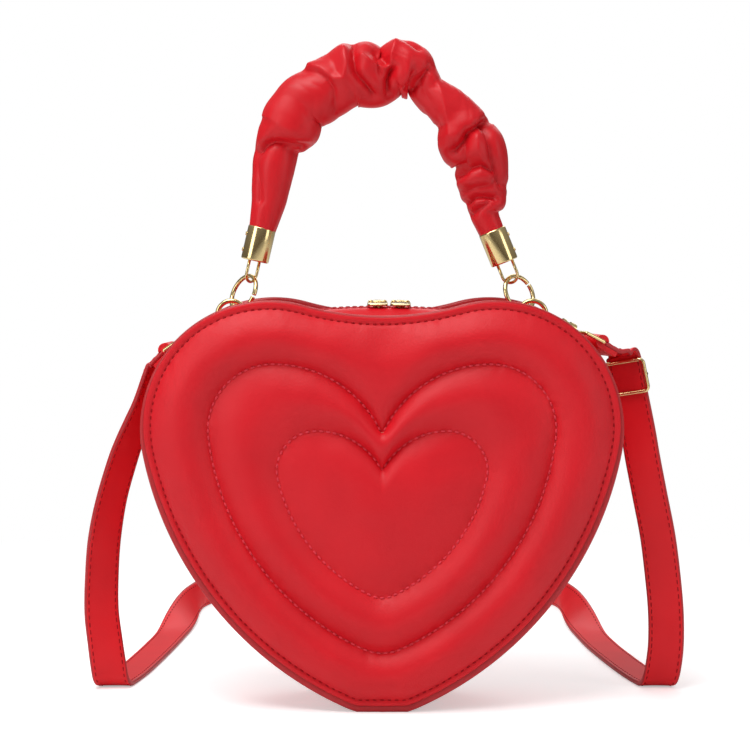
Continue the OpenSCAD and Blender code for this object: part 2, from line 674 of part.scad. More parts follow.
// Round nose, cheeks for the gate, shank and a barrel with a cross window for the eye's rivet
module hook() {
    difference() {
        union() {
            nose_arc(hook_wire, 92, 360 + gate_tip - 6);
            translate([0, 0, 2 * hook_r - hook_wire / 2])
                cylinder(h = barrel_z - 2 * hook_r + hook_wire / 2 + 0.2, d = 3.4, $fn = 40);
            translate([0, 0, barrel_z]) cylinder(h = barrel_l, d = barrel_d, $fn = 60);
            for (t = [-1, 1]) translate([t * (cheek_gap + cheek_t) / 2 - cheek_t / 2, 0, hinge_z - 1.5])
                cube([cheek_t, hinge_y + 1.3, 3.6]);
        }
        translate([-barrel_d, -2.1, window_z]) cube([2 * barrel_d, 4.2, window_h]);
        cylinder(h = barrel_z + 2 * barrel_l, d = stem_d + 2 * run_fit, $fn = 32);
        translate([-cheek_gap / 2, 0.6, hinge_z - 2]) cube([cheek_gap, hook_r, 4.6]);
        translate([-5, hinge_y, hinge_z]) rotate([0, 90, 0]) cylinder(h = 10, d = pin_d, $fn = 24);
    }
}

// Sprung gate: a hub on the pin and a straight finger that closes the nose
finger_d = 1.4;
finger_y = hook_r * cos(gate_tip) + 0.2;
finger_z = hook_r + hook_r * sin(gate_tip) + 0.6;
module gate() {
    along = [0, finger_y - hinge_y, finger_z - hinge_z] / norm([finger_y - hinge_y, finger_z - hinge_z]);
    from = [0, hinge_y, hinge_z] + 0.85 * along;
    difference() {
        union() {
            translate([-0.6, hinge_y, hinge_z]) rotate([0, 90, 0]) cylinder(h = 1.2, d = 2.4, $fn = 32);
            rod(from, [0, finger_y, finger_z], finger_d / 2);
        }
        translate([-5, hinge_y, hinge_z]) rotate([0, 90, 0])
            cylinder(h = 10, d = pin_d + 2 * run_fit, $fn = 24);
    }
}

module gate_pin() {
    half = cheek_gap / 2 + cheek_t;
    translate([-half, hinge_y, hinge_z]) rotate([0, 90, 0]) cylinder(h = 2 * half, d = pin_d, $fn = 24);
}

// Rivet in the barrel and a wire frame whose far bar holds the strap
eye_half = strap_w / 2 + gap + slide_wire / 2;
eye_near = 23.4;
module eye() {
    w = slide_wire / 2;
    translate([0, 0, window_z + 0.5]) cylinder(h = window_h - 0.8, d = head_d, $fn = 40);
    translate([0, 0, window_z + 1]) cylinder(h = eye_near - window_z - 1, d = stem_d, $fn = 32);
    rod([0, -eye_half, eye_near], [0, eye_half, eye_near], w);
    for (t = [-1, 1]) {
        ball([0, t * eye_half, eye_near], w);
        rod([0, t * eye_half, eye_near], [0, t * eye_half, hook_l], w);
        ball([0, t * eye_half, hook_l], w);
    }
    rod([0, -eye_half, hook_l], [0, eye_half, hook_l], w);
}

module hook_left() { color(gold) at_hook(0) hook(); }
module hook_right() { color(gold) to_right() at_hook(1) hook(); }
module gate_left() { color(gold) at_hook(0) gate(); }
module gate_right() { color(gold) to_right() at_hook(1) gate(); }
module gate_pin_left() { color(gold) at_hook(0) gate_pin(); }
module gate_pin_right() { color(gold) to_right() at_hook(1) gate_pin(); }
module eye_left() { color(gold) at_hook(0) eye(); }
module eye_right() { color(gold) to_right() at_hook(1) eye(); }

// The strap's end at a hook: z points up along it to the eye's bar, x is its thickness
lean = [45, 62];
function run_dir(k) = [-sin(lean[k]) * cos(turn[k]), sin(lean[k]) * sin(turn[k]), -cos(lean[k])];
module at_run(k) { translate(eye_bar(k)) rotate([0, 0, -turn[k]]) rotate([0, lean[k], 0]) children(); }
sleeve_bore = slide_wire / 2 + run_fit;
run_start = sleeve_bore + 0.6;

// The fold goes round the eye's bar and lies on the strap's inner face
module fold() {
    difference() {
        union() {
            rotate([90, 0, 0]) translate([0, 0, -strap_w / 2])
                cylinder(h = strap_w, r = sleeve_bore + strap_t, $fn = 60);
            translate([strap_t / 2, -strap_w / 2, -fold_l - run_start]) cube([strap_t, strap_w, fold_l + run_start]);
        }
        rotate([90, 0, 0]) cylinder(h = 2 * strap_w, r = sleeve_bore, center = true, $fn = 48);
        translate([-strap_t / 2, -strap_w, -2 * fold_l - run_start]) cube([strap_t, 2 * strap_w, 2 * fold_l]);
    }
}

module strap_fold_left() { color(red) at_run(0) fold(); }
module strap_fold_right() { color(red) to_right() at_run(1) fold(); }

// Adjuster slide on the right run, where the strap faces the front: a wire frame before the strap
// and a bar behind it. Its z points up along the strap, y is the strap's width, x its front.
slide_mid = row_k * [-123.2, 15, 158.3];
slide_angles = [-10.2, 5.7, -70];
function turned(v, r) =
    let (a = [v[0], v[1] * cos(r[0]) - v[2] * sin(r[0]), v[1] * sin(r[0]) + v[2] * cos(r[0])],
         b = [a[0] * cos(r[1]) + a[2] * sin(r[1]), a[1], a[2] * cos(r[1]) - a[0] * sin(r[1])])
    [b[0] * cos(r[2]) - b[1] * sin(r[2]), b[0] * sin(r[2]) + b[1] * cos(r[2]), b[2]];
slide_off = (strap_t + slide_wire) / 2 + 0.1;
slide_half = strap_w / 2 + 0.1 + slide_wire / 2;
module slide_frame() {
    w = slide_wire / 2;
    h = (slide_h - slide_wire) / 2;
    color(gold) to_right() translate(slide_mid) rotate(slide_angles) translate([slide_off, 0, 0]) {
        for (t = [-1, 1]) {
            rod([0, -slide_half, t * h], [0, slide_half, t * h], w);
            rod([0, t * slide_half, -h], [0, t * slide_half, h], w);
            ball([0, t * slide_half, h], w);
            ball([0, t * slide_half, -h], w);
            rod([0, t * slide_half, 0], [-2 * slide_off, t * slide_half, 0], w);
            ball([-2 * slide_off, t * slide_half, 0], w);
        }
        rod([-2 * slide_off, -slide_half, 0], [-2 * slide_off, slide_half, 0], w);
    }
}

// Rows of the strap's middle line with the direction of its width, both sides written as on the
// left. It hangs beside the bag, bends on the floor, runs back, turns up on its edge and goes round.
floor_z = strap_t / 2;
edge_z = strap_w / 2;
function grown(rows) = [for (r = rows) [r[0] * row_k, r[1] * row_k, r[2] < 30 ? r[2] : r[2] * row_k,
    r[3], r[4], r[5]]];
function run_row(k, d) = concat(eye_bar(k) + d * run_dir(k), [sin(turn[k]), cos(turn[k]), 0]);
function slide_row(h) = concat(slide_mid + turned([0, 0, h], slide_angles), turned([0, 1, 0], slide_angles));
rows_left = concat([for (d = [run_start, fold_l + 2, fold_l + 5]) run_row(0, d)], grown([
    [-118, 6, 148, 0.45, 0.89, 0], [-121.6, 8.5, 138, 0.6, 0.8, 0],
    [-125.6, 11, 128, 0.7, 0.71, 0], [-129.7, 13, 117, 0.75, 0.66, 0],
    [-135.7, 15.8, 97, 0.78, 0.62, 0], [-139.5, 17.6, 77, 0.85, 0.53, 0],
    [-141, 18.8, 58, 0.87, 0.49, 0], [-141.2, 19.2, 40, 0.9, 0.43, 0],
    [-139.4, 19.5, 24, 0.94, 0.34, 0], [-138, 20.5, 13, 0.97, 0.24, 0], [-137, 23, 5.5, 0.99, 0.1, 0],
    [-135.5, 28, floor_z + 0.7, 1, 0, 0], [-134, 36, floor_z, 1, 0, 0],
    [-130, 60, floor_z, 1, 0, 0], [-126, 95, floor_z, 1, 0, 0]]));
rows_right = concat([for (d = [run_start, fold_l + 2.3]) run_row(1, d)],
    grown([[-118.9, 13.4, 170.2, 0.66, 0.74, -0.09]]),
    [for (h = [9.6, -10, -11.5 - slide_run]) slide_row(h)], grown([
    [-131.2, 16.4, 117, 0.94, 0.32, -0.16], [-135, 17.5, 98, 0.94, 0.32, -0.12],
    [-139, 18.7, 78, 0.96, 0.28, -0.08], [-141.6, 19.3, 58, 0.98, 0.2, -0.04],
    [-143.2, 19.5, 40, 0.98, 0.2, 0], [-143.3, 19.5, 24, 0.98, 0.18, 0],
    [-142.3, 20.5, 13, 0.98, 0.16, 0], [-141, 23, 5.5, 0.99, 0.1, 0],
    [-139.5, 28, floor_z + 0.7, 1, 0, 0], [-137.5, 36, floor_z, 1, 0, 0],
    [-132.5, 60, floor_z, 1, 0, 0], [-127, 95, floor_z, 1, 0, 0]]));
rows_back = grown([[-122.5, 130, floor_z, 1, 0, 0], [-119.5, 165, floor_z + 0.4, 0.995, 0, -0.04],
    [-117, 190, 5.4, 0.9, 0, -0.44], [-115, 212, 8.2, 0.64, 0, -0.77],
    [-113, 234, edge_z - 0.1, 0.3, 0, -0.95], [-109, 258, edge_z, 0, 0, -1],
    [-99, 284, edge_z, 0, 0, -1], [-82, 306, edge_z, 0, 0, -1],
    [-58, 322, edge_z, 0, 0, -1], [-30, 331, edge_z, 0, 0, -1]]);
function row_pos(r) = [r[0], r[1], r[2]];
function row_wide(r) = [r[3], r[4], r[5]];
function flip_row(r) = [-r[0], r[1], r[2], -r[3], r[4], r[5]];
function flipped(rows) = [for (i = [len(rows) - 1 : -1 : 0]) flip_row(rows[i])];
strap_all = concat(rows_left, rows_back, [[0, 334 * row_k, edge_z, 0, 0, -1]], flipped(rows_back),
    flipped(rows_right));

function strap_ring(i) =
    let (n = len(strap_all), a = row_pos(strap_all[max(i - 1, 0)]),
         b = row_pos(strap_all[min(i + 1, n - 1)]), t = (b - a) / norm(b - a),
         raw = row_wide(strap_all[i]), flat = raw - (raw * t) * t, w = flat / norm(flat),
         up = cross(t, w), c = row_pos(strap_all[i]))
    [for (q = [[-1, -1], [1, -1], [1, 1], [-1, 1]]) c + w * q[0] * strap_w / 2 + up * q[1] * strap_t / 2];

module strap() {
    n = len(strap_all);
    sides = [for (i = [0 : n - 2]) for (j = [0 : 3]) let (a = i * 4 + j, b = i * 4 + (j + 1) % 4)
        each [[a, b, b + 4], [a, b + 4, a + 4]]];
    color(red) polyhedron([for (i = [0 : n - 1]) each strap_ring(i)],
        concat(sides, [[3, 2, 1, 0], [for (j = [0 : 3]) (n - 1) * 4 + j]]), convexity = 10);
}

front_cover();
front_foam();
front_board();
front_lining();
back_cover();
back_foam();
back_board();
back_lining();
gusset();
gusset_lining();
pocket();
zip_strip_front();
zip_strip_back();
zip_tape_front();
zip_tape_back();
zip_teeth_front();
zip_teeth_back();
zip_stops();
slider_left();
slider_right();
pull_left();
pull_right();
tab_left();
tab_right();
loop_left();
loop_right();
ring_left();
ring_right();
bail_left();
bail_right();
cap_left();
cap_right();
cap_screws();
handle_core();
handle_sleeve();
hook_left();
hook_right();
gate_left();
gate_right();
gate_pin_left();
gate_pin_right();
eye_left();
eye_right();
strap_fold_left();
strap_fold_right();
slide_frame();
strap();
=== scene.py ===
# %% [markdown]
# # A heart shaped purse in red leather
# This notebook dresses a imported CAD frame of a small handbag. The frame gives every
# part's place in metres: +X to the right, +Y to the back, +Z up, and the origin under
# the heart's tip. Each cell builds one group of pieces from a few formulas.

# %%
import math

import bpy
import numpy as np
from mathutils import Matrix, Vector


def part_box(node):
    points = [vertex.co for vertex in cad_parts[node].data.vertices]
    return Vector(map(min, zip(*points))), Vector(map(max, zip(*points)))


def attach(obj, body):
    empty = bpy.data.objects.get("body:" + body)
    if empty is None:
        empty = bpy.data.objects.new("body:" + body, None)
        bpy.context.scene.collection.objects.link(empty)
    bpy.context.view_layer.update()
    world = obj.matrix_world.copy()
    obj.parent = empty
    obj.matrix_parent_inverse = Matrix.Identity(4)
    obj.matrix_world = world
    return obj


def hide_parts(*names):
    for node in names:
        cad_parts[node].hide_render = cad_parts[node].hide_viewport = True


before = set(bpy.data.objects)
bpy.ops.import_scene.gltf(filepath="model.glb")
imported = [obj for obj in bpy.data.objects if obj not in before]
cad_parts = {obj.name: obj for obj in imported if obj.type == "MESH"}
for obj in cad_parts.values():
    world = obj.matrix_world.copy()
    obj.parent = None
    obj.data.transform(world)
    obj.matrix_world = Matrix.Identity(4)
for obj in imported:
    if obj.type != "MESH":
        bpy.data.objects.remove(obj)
scene = bpy.context.scene
MM = 0.001

# %% [markdown]
# ## Camera, floor and light
# The camera stands one metre in front of the bag with a long lens. It is level, and its
# sensor is shifted down, so that the bag's uprights stay parallel in the picture.

# %%
cam_data = bpy.data.cameras.new("camera")
cam = bpy.data.objects.new("camera", cam_data)
scene.collection.objects.link(cam)
scene.camera = cam
cam.location = (-3.4 * MM, -1031 * MM, 227 * MM)
cam.rotation_euler = (math.pi / 2, 0, 0)
cam_data.lens = 100.0
cam_data.sensor_width = 36.0
cam_data.shift_y = -0.18
cam_data.clip_start = 0.01

scene.view_settings.view_transform = "Standard"
scene.view_settings.look = "None"
scene.view_settings.exposure = 0.0


def hex_rgb(code):
    """sRGB hex to linear: c/12.92 below 0.04045, else ((c + 0.055)/1.055)^2.4."""
    c = np.array([int(code[i : i + 2], 16) for i in (1, 3, 5)]) / 255.0
    lin = np.where(c <= 0.04045, c / 12.92, ((c + 0.055) / 1.055) ** 2.4)
    return (*map(float, lin), 1.0)


def add_node(tree, kind, links=(), out=None, **values):
    """Adds a shader node. links: (input name or index, source socket); values set attributes."""
    n = tree.nodes.new(kind)
    for k, v in values.items():
        if k.startswith("in_"):
            n.inputs[k[3:].replace("_", " ")].default_value = v
        else:
            setattr(n, k, v)
    for name, source in links:
        tree.links.new(source, n.inputs[name])
    if out is not None:
        tree.links.new(n.outputs[0], out)
    return n


def area_light(name, at, look_at, size, watts, colour="#ffffff"):
    """A rectangular softbox at a point, turned to face another."""
    d = bpy.data.lights.new(name, "AREA")
    d.shape, d.size, d.size_y = "RECTANGLE", size[0], size[1]
    d.energy, d.color = watts, hex_rgb(colour)[:3]
    o = bpy.data.objects.new(name, d)
    scene.collection.objects.link(o)
    o.location = at
    v = np.array(look_at, float) - np.array(at, float)
    v /= np.linalg.norm(v)
    o.rotation_mode = "XYZ"
    o.rotation_euler = (math.acos(-v[2]), 0, math.atan2(-v[0], v[1]))
    return o


area_light("softbox_top", (-0.3, -0.4, 1.15), (0, 0, 0.12), (0.8, 0.6), 9.0)
area_light("softbox_left", (-1.1, -0.9, 0.6), (0, 0, 0.12), (0.6, 0.8), 4.6)
area_light("softbox_right", (1.15, -0.7, 0.5), (0, 0, 0.12), (0.5, 0.8), 2.6)
area_light("softbox_back", (0.2, 1.1, 0.9), (0, 0, 0.1), (1.0, 0.6), 4.0)

world = bpy.data.worlds.new("studio")
scene.world = world
world.use_nodes = True
wt = world.node_tree
wt.nodes.clear()
path = add_node(wt, "ShaderNodeLightPath")
coord = add_node(wt, "ShaderNodeTexCoord")
split = add_node(wt, "ShaderNodeSeparateXYZ", [(0, coord.outputs["Generated"])])
ramp = add_node(wt, "ShaderNodeValToRGB", [(0, split.outputs["Z"])])
ramp.color_ramp.elements[0].position = 0.0
ramp.color_ramp.elements[0].color = hex_rgb("#8a8078")
ramp.color_ramp.elements[1].position = 0.75
ramp.color_ramp.elements[1].color = hex_rgb("#ffffff")
soft = add_node(wt, "ShaderNodeBackground", [(0, ramp.outputs[0])], in_Strength=0.42)
white = add_node(wt, "ShaderNodeBackground", in_Strength=1.0, in_Color=(1, 1, 1, 1))
mix = add_node(
    wt,
    "ShaderNodeMixShader",
    [(0, path.outputs["Is Camera Ray"]), (1, soft.outputs[0]), (2, white.outputs[0])],
)
add_node(wt, "ShaderNodeOutputWorld", [(0, mix.outputs[0])])


def new_object(name, verts, faces, smooth=True, uv=None):
    """A mesh object at the origin from an (n, 3) array in millimetres and a list of faces."""
    me = bpy.data.meshes.new(name)
    me.from_pydata((np.asarray(verts, float) * MM).tolist(), [], [list(map(int, f)) for f in faces])
    if smooth:
        me.polygons.foreach_set("use_smooth", np.ones(len(me.polygons), bool))
    if uv is not None:
        layer = me.uv_layers.new(name="uv")
        loops = np.zeros(len(me.loops), int)
        me.loops.foreach_get("vertex_index", loops)
        layer.data.foreach_set("uv", np.asarray(uv, np.float32)[loops].ravel())
    me.update()
    o = bpy.data.objects.new(name, me)
    scene.collection.objects.link(o)
    return o


floor_mat = bpy.data.materials.new("white_floor")
floor_mat.use_nodes = True
ft = floor_mat.node_tree
ft.nodes.clear()
f_path = add_node(ft, "ShaderNodeLightPath")
f_diff = add_node(ft, "ShaderNodeBsdfDiffuse", in_Color=hex_rgb("#f4f4f4"))
f_glow = add_node(ft, "ShaderNodeEmission", in_Color=(1, 1, 1, 1), in_Strength=0.42)
f_add = add_node(ft, "ShaderNodeAddShader", [(0, f_diff.outputs[0]), (1, f_glow.outputs[0])])
# Seen by the camera, the floor fades to white between 0.2 and 0.6 m from the bag
f_white = add_node(ft, "ShaderNodeEmission", in_Color=(1, 1, 1, 1), in_Strength=1.0)
f_coord = add_node(ft, "ShaderNodeTexCoord")
f_len = add_node(ft, "ShaderNodeVectorMath", [(0, f_coord.outputs["Object"])], operation="LENGTH")
distance = [("Value", f_len.outputs["Value"])]
f_far = add_node(ft, "ShaderNodeMapRange", distance, in_From_Min=0.2, in_From_Max=0.6)
f_near = add_node(
    ft, "ShaderNodeMixShader", [(0, f_far.outputs[0]), (1, f_add.outputs[0]), (2, f_white.outputs[0])]
)
f_mix = add_node(
    ft,
    "ShaderNodeMixShader",
    [(0, f_path.outputs["Is Camera Ray"]), (1, f_diff.outputs[0]), (2, f_near.outputs[0])],
)
add_node(ft, "ShaderNodeOutputMaterial", [(0, f_mix.outputs[0])])
s = 6000.0
floor = new_object("floor", [(-s, -s, 0), (s, -s, 0), (s, s, 0), (-s, s, 0)], [(0, 1, 2, 3)])
floor.data.materials.append(floor_mat)

# %% [markdown]
# ## Materials
# Leather is one principled shader with a fine pebble bump. The pebbles are about 0.8 mm
# across. The gold is a smooth pale metal. Cloth pieces get a woven bump from two waves.


# %%
def leather(name, code, rough=0.42, grain=0.08, pebble=0.9):
    """Synthetic leather: even colour with a slow drift, pebble and noise bump in object space."""
    m = bpy.data.materials.new(name)
    m.use_nodes = True
    t = m.node_tree
    t.nodes.clear()
    c = add_node(t, "ShaderNodeTexCoord")
    big = add_node(
        t, "ShaderNodeTexNoise", [("Vector", c.outputs["Object"])], in_Scale=28.0, in_Detail=2.0
    )
    tone = add_node(t, "ShaderNodeValToRGB", [(0, big.outputs[0])])
    rgb = np.array(hex_rgb(code)[:3])
    tone.color_ramp.elements[0].position, tone.color_ramp.elements[1].position = 0.3, 0.7
    tone.color_ramp.elements[0].color = (*map(float, rgb * 0.94), 1)
    tone.color_ramp.elements[1].color = (*map(float, np.minimum(rgb * 1.05, 1)), 1)
    cells = add_node(
        t, "ShaderNodeTexVoronoi", [("Vector", c.outputs["Object"])], in_Scale=1000.0 / pebble
    )
    fine = add_node(
        t, "ShaderNodeTexNoise", [("Vector", c.outputs["Object"])], in_Scale=2600.0, in_Detail=3.0
    )
    both = add_node(
        t, "ShaderNodeMath", [(0, cells.outputs["Distance"]), (1, fine.outputs[0])], operation="ADD"
    )
    bump = add_node(
        t, "ShaderNodeBump", [("Height", both.outputs[0])], in_Strength=grain, in_Distance=0.0004
    )
    p = add_node(
        t,
        "ShaderNodeBsdfPrincipled",
        [("Base Color", tone.outputs[0]), ("Normal", bump.outputs[0])],
        in_Roughness=rough,
    )
    p.inputs["Specular IOR Level"].default_value = 0.34
    add_node(t, "ShaderNodeOutputMaterial", [(0, p.outputs[0])])
    return m


def plain(name, code, rough=0.5, metal=0.0, spec=0.5):
    """One even colour, set straight on the shader."""
    m = bpy.data.materials.new(name)
    m.use_nodes = True
    p = m.node_tree.nodes["Principled BSDF"]
    p.inputs["Base Color"].default_value = hex_rgb(code)
    p.inputs["Roughness"].default_value = rough
    p.inputs["Metallic"].default_value = metal
    p.inputs["Specular IOR Level"].default_value = spec
    return m


def woven(name, code, pitch=0.7):
    """Cloth: two crossed waves of the thread pitch in mm drive the bump."""
    m = bpy.data.materials.new(name)
    m.use_nodes = True
    t = m.node_tree
    t.nodes.clear()
    c = add_node(t, "ShaderNodeTexCoord")
    waves = []
    for axis in ("X", "Z"):
        w = add_node(
            t,
            "ShaderNodeTexWave",
            [("Vector", c.outputs["Object"])],
            bands_direction=axis,
            in_Scale=1000.0 / pitch / 20.0,
        )
        waves.append(w.outputs["Fac"])
    mul = add_node(t, "ShaderNodeMath", [(0, waves[0]), (1, waves[1])], operation="ADD")
    bump = add_node(
        t, "ShaderNodeBump", [("Height", mul.outputs[0])], in_Strength=0.3, in_Distance=0.0003
    )
    p = add_node(
        t,
        "ShaderNodeBsdfPrincipled",
        [("Normal", bump.outputs[0])],
        in_Roughness=0.85,
    )
    p.inputs["Base Color"].default_value = hex_rgb(code)
    add_node(t, "ShaderNodeOutputMaterial", [(0, p.outputs[0])])
    return m


M_RED = leather("red_synthetic_leather", "#d3101f", rough=0.48, grain=0.16)
M_HANDLE = leather("red_soft_leather", "#cc0e1b", rough=0.43, grain=0.05)
M_STRAP = leather("red_strap_leather", "#e2121f", rough=0.46)
M_EDGE = plain("dark_red_edge_paint", "#b5161f", rough=0.38)
M_THREAD = plain("dark_red_thread", "#9c0511", rough=0.7, spec=0.2)
# Seam thread: the dark red thread lightened to pink, so its colour is partly painted highlight standing in
# for the light on the stitches
M_SEAM_THREAD_HIGHLIGHT = plain("seam_thread_with_painted_highlight", "#dc3a48", rough=0.6, spec=0.3)
M_GOLD = plain("pale_gold_plate", "#e6cd94", rough=0.16, metal=1.0)
M_TAPE = woven("red_zip_tape", "#a8121c", 0.6)
M_LINING = woven("tan_lining_cloth", "#b89b7c", 0.5)
M_ROPE = woven("cotton_rope", "#c9b18c", 1.4)
M_BOARD = plain("grey_fibre_board", "#8c8c8c", rough=0.9)
M_FOAM = plain("cream_foam", "#e8dcc0", rough=0.95)


def finish_piece(o, material, body, slot_name, *nodes, extra=()):
    """Gives a piece its material, its body and the CAD nodes that it stands for."""
    o.data.materials.append(material)
    for m in extra:
        o.data.materials.append(m)
    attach(o, body)
    if nodes:
        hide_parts(*nodes)
    return o


# CAD nodes that stay as they are only need their real finish.
KEEP = {
    "gusset_lining": M_LINING,
    "pocket": M_LINING,
}
GOLD_NODES = ["hook_left", "hook_right", "gate_left", "gate_right", "gate_pin_left"]
GOLD_NODES += ["gate_pin_right", "eye_left", "eye_right", "zip_stops"]
for n in GOLD_NODES:
    KEEP[n] = M_GOLD
for n, m in KEEP.items():
    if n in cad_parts:
        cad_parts[n].data.materials.clear()
        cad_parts[n].data.materials.append(m)

# %% [markdown]
# ## Heart outlines
# The bag's outline is made of arcs that meet without corners: a hollow between the
# lobes, the lobe, a long side and the tip. Moving every arc by the same distance along
# its normal gives a parallel outline. Seams are hearts with a sharp notch.

# %%
N_DIP, N_LOBE, N_SIDE, N_TIP = 36, 96, 72, 30
HALF = N_DIP + N_LOBE + N_SIDE + N_TIP
RING = 2 * HALF
LOBE_X, LOBE_R, LOBE_TOP = 54.5, 62.0, 198.0
LOBE_Z = LOBE_TOP - LOBE_R
DIP_R, SIDE_R, TIP_R, TIP_FLAT = 142.0, 170.0, 44.0, 1.7
RIM = 31.0


def arc(c, r, a0, a1, n):
    """n points of a circle from angle a0 to just before a1, in degrees."""
    a = np.radians(a0 + (a1 - a0) * np.arange(n) / n)
    return np.stack([c[0] + r * np.cos(a), c[1] + r * np.sin(a)], 1)


def touching(c1, r1, c2, r2, r):
    """Centre of the circle of radius r that holds both given circles and touches them."""
    a, b = r - r1, r - r2
    v = np.subtract(c2, c1)
    d = np.hypot(*v)
    t = (a * a - b * b + d * d) / (2 * d)
    h = math.sqrt(a * a - t * t)
    return np.array([c1[0] + (v[0] * t + v[1] * h) / d, c1[1] + (v[1] * t - v[0] * h) / d])


def below_top(top, lc, lr, a_top, tc, tr, sr):
    """Right half of a heart after its top arc: lobe, side, tip."""
    sc = touching(lc, lr, tc, tr, sr)
    a_side = math.degrees(math.atan2(lc[1] - sc[1], lc[0] - sc[0]))
    a_tip = math.degrees(math.atan2(tc[1] - sc[1], tc[0] - sc[0]))
    parts = [top, arc(lc, lr, a_top, a_side, N_LOBE), arc(sc, sr, a_side, a_tip, N_SIDE)]
    parts += [arc(tc, tr, a_tip, -90, N_TIP), [[0, tc[1] - tr]]]
    half = np.concatenate(parts)
    return np.concatenate([half, (half * [-1, 1])[-2:0:-1]])


def heart(d=0.0):
    """The bag's outline moved inwards by d millimetres."""
    a4 = math.degrees(math.asin(LOBE_X / (LOBE_R + DIP_R)))
    dip_z = LOBE_Z + math.sqrt((LOBE_R + DIP_R) ** 2 - LOBE_X**2)
    top = arc([0, dip_z], DIP_R + d, -90, -90 + a4, N_DIP)
    tip_z = TIP_R - TIP_FLAT
    p = below_top(top, [LOBE_X, LOBE_Z], LOBE_R - d, 90 + a4, [0, tip_z], TIP_R - d, SIDE_R - d)
    p[:, 1] = np.maximum(p[:, 1], d)
    return p


def seam_heart(x, top, r, notch, tip, tr, sr):
    """A seam: its inner top arcs run down to a notch at (0, notch)."""
    h = top - notch
    ra = (x * x + h * h) / (2 * h)
    a0 = math.degrees(math.atan2(notch - top + ra, -x))
    inner = arc([x, top - ra], ra, a0, 90, N_DIP)
    return below_top(inner, [x, top - r], r, 90, [0, tip + tr], tr, sr)


SEAM_A = seam_heart(52, 167.5, 31.5, 133.5, 29, 22, 128)
SEAM_B = seam_heart(31.5, 135.5, 19, 116.5, 55.5, 12, 82)
HEART_MID = np.array([0.0, 102.5])
CENTRE = HEART_MID + (SEAM_B - HEART_MID) * 0.04

# Place along half the outline: 0 at the top middle, 1 at the tip
side_place = np.concatenate([np.arange(HALF + 1) / HALF, (np.arange(HALF) / HALF)[:0:-1]])


def smooth(t):
    """3t^2 - 2t^3 between 0 and 1."""
    t = np.clip(t, 0, 1)
    return t * t * (3 - 2 * t)


def inset_by(table):
    """Width along the outline from (place, mm) pairs, joined smoothly."""
    xs, ys = np.array(table).T
    return np.interp(side_place, xs, ys)


def heart_var(d):
    """The outline moved inwards by a width that changes along it."""
    lo, hi = heart(0.0), heart(10.0)
    return lo + (hi - lo) * (np.asarray(d) / 10.0)[:, None]


EDGE_IN = inset_by([(0, 0.9), (0.35, 0.9), (0.5, 1.6), (0.62, 3.0), (0.9, 3.4), (1, 3.2)])
STITCH_IN = inset_by([(0, 4.1), (0.35, 4.3), (0.5, 5.2), (0.65, 6.0), (1, 6.2)])


def wave_noise(p, scale, seed, octaves=3):
    """Smooth noise in about -1..1: sums of sines with random directions and phases."""
    r = np.random.default_rng(seed)
    out = np.zeros(len(p))
    for k in range(octaves * 5):
        f = 2 * math.pi / scale * 2 ** (k % octaves) * r.uniform(0.7, 1.3)
        v = r.normal(size=p.shape[1])
        v /= np.linalg.norm(v)
        out += np.sin((p @ v) * f + r.uniform(0, 6.28)) / 2 ** (k % octaves)
    return out / 4.0


# %% [markdown]
# ## Quilted covers
# Each cover is a set of rings from the rim to the middle. Between two seams the height
# follows `seam + puff * sin(pi t)^p`, so that the padding swells up next to a seam and
# stays full between. Small puckers run across the seams.

# %%
PUFF, SEAM_H = 6.4, 1.2


def swell(t, power):
    """0 at both ends, 1 in the middle, steeper at the ends for a lower power."""
    return np.sin(np.pi * np.clip(t, 0, 1)) ** power


rings, heights, seam_gap = [], [], []


def add_ring(pts, h, gap):
    """One more ring of the cover: its outline, height and distance to the next seam."""
    rings.append(pts)
    heights.append(h if np.ndim(h) else np.full(RING, float(h)))
    seam_gap.append(gap if np.ndim(gap) else np.full(RING, float(gap)))


stitch_line = heart_var(STITCH_IN)
for t in np.linspace(0, 1, 7):
    a = t * math.pi / 2
    add_ring(heart_var(EDGE_IN + 0.9 * (1 - math.sin(a))), -1.3 + 1.3 * math.sin(a), 99)
for t in np.linspace(0, 1, 9)[1:]:
    w = EDGE_IN + (STITCH_IN - EDGE_IN) * t
    add_ring(heart_var(w), 0.25 * math.sin(math.pi * t) - 0.35 * t**3, 99)


def rounded(pts, passes):
    """A closed line with its corners rounded by passes of (1, 2, 1) / 4."""
    for _ in range(int(passes)):
        pts = (np.roll(pts, 1, 0) + 2 * pts + np.roll(pts, -1, 0)) / 4
    return pts


def band(a, b, ha, hb, n, power, puff):
    """Rings from outline a to outline b with a swell between."""
    gap = np.linalg.norm(a - b, axis=1)
    for t in np.linspace(0, 1, n)[1:]:
        h = ha + (hb - ha) * smooth(t) + puff * swell(t, power)
        ring = a + (b - a) * t
        add_ring(rounded(ring, 36 * math.sin(math.pi * t)), h, np.minimum(t, 1 - t) * gap)


band(stitch_line, SEAM_A, -0.1, SEAM_H, 44, 0.86, PUFF)
band(SEAM_A, SEAM_B, SEAM_H, SEAM_H + 0.3, 34, 0.9, PUFF * 0.95)
gap_b = np.linalg.norm(SEAM_B - CENTRE, axis=1)
for t in np.linspace(0, 1, 34)[1:]:
    h = SEAM_H + 0.3 + PUFF * 1.0 * np.sin(np.pi / 2 * np.minimum(t * 1.1, 1)) ** 0.9
    add_ring(rounded(SEAM_B + (CENTRE - SEAM_B) * t, 90 * t), h, t * gap_b)

flat = np.concatenate(rings)
height = np.concatenate(heights)
gap = np.concatenate(seam_gap)


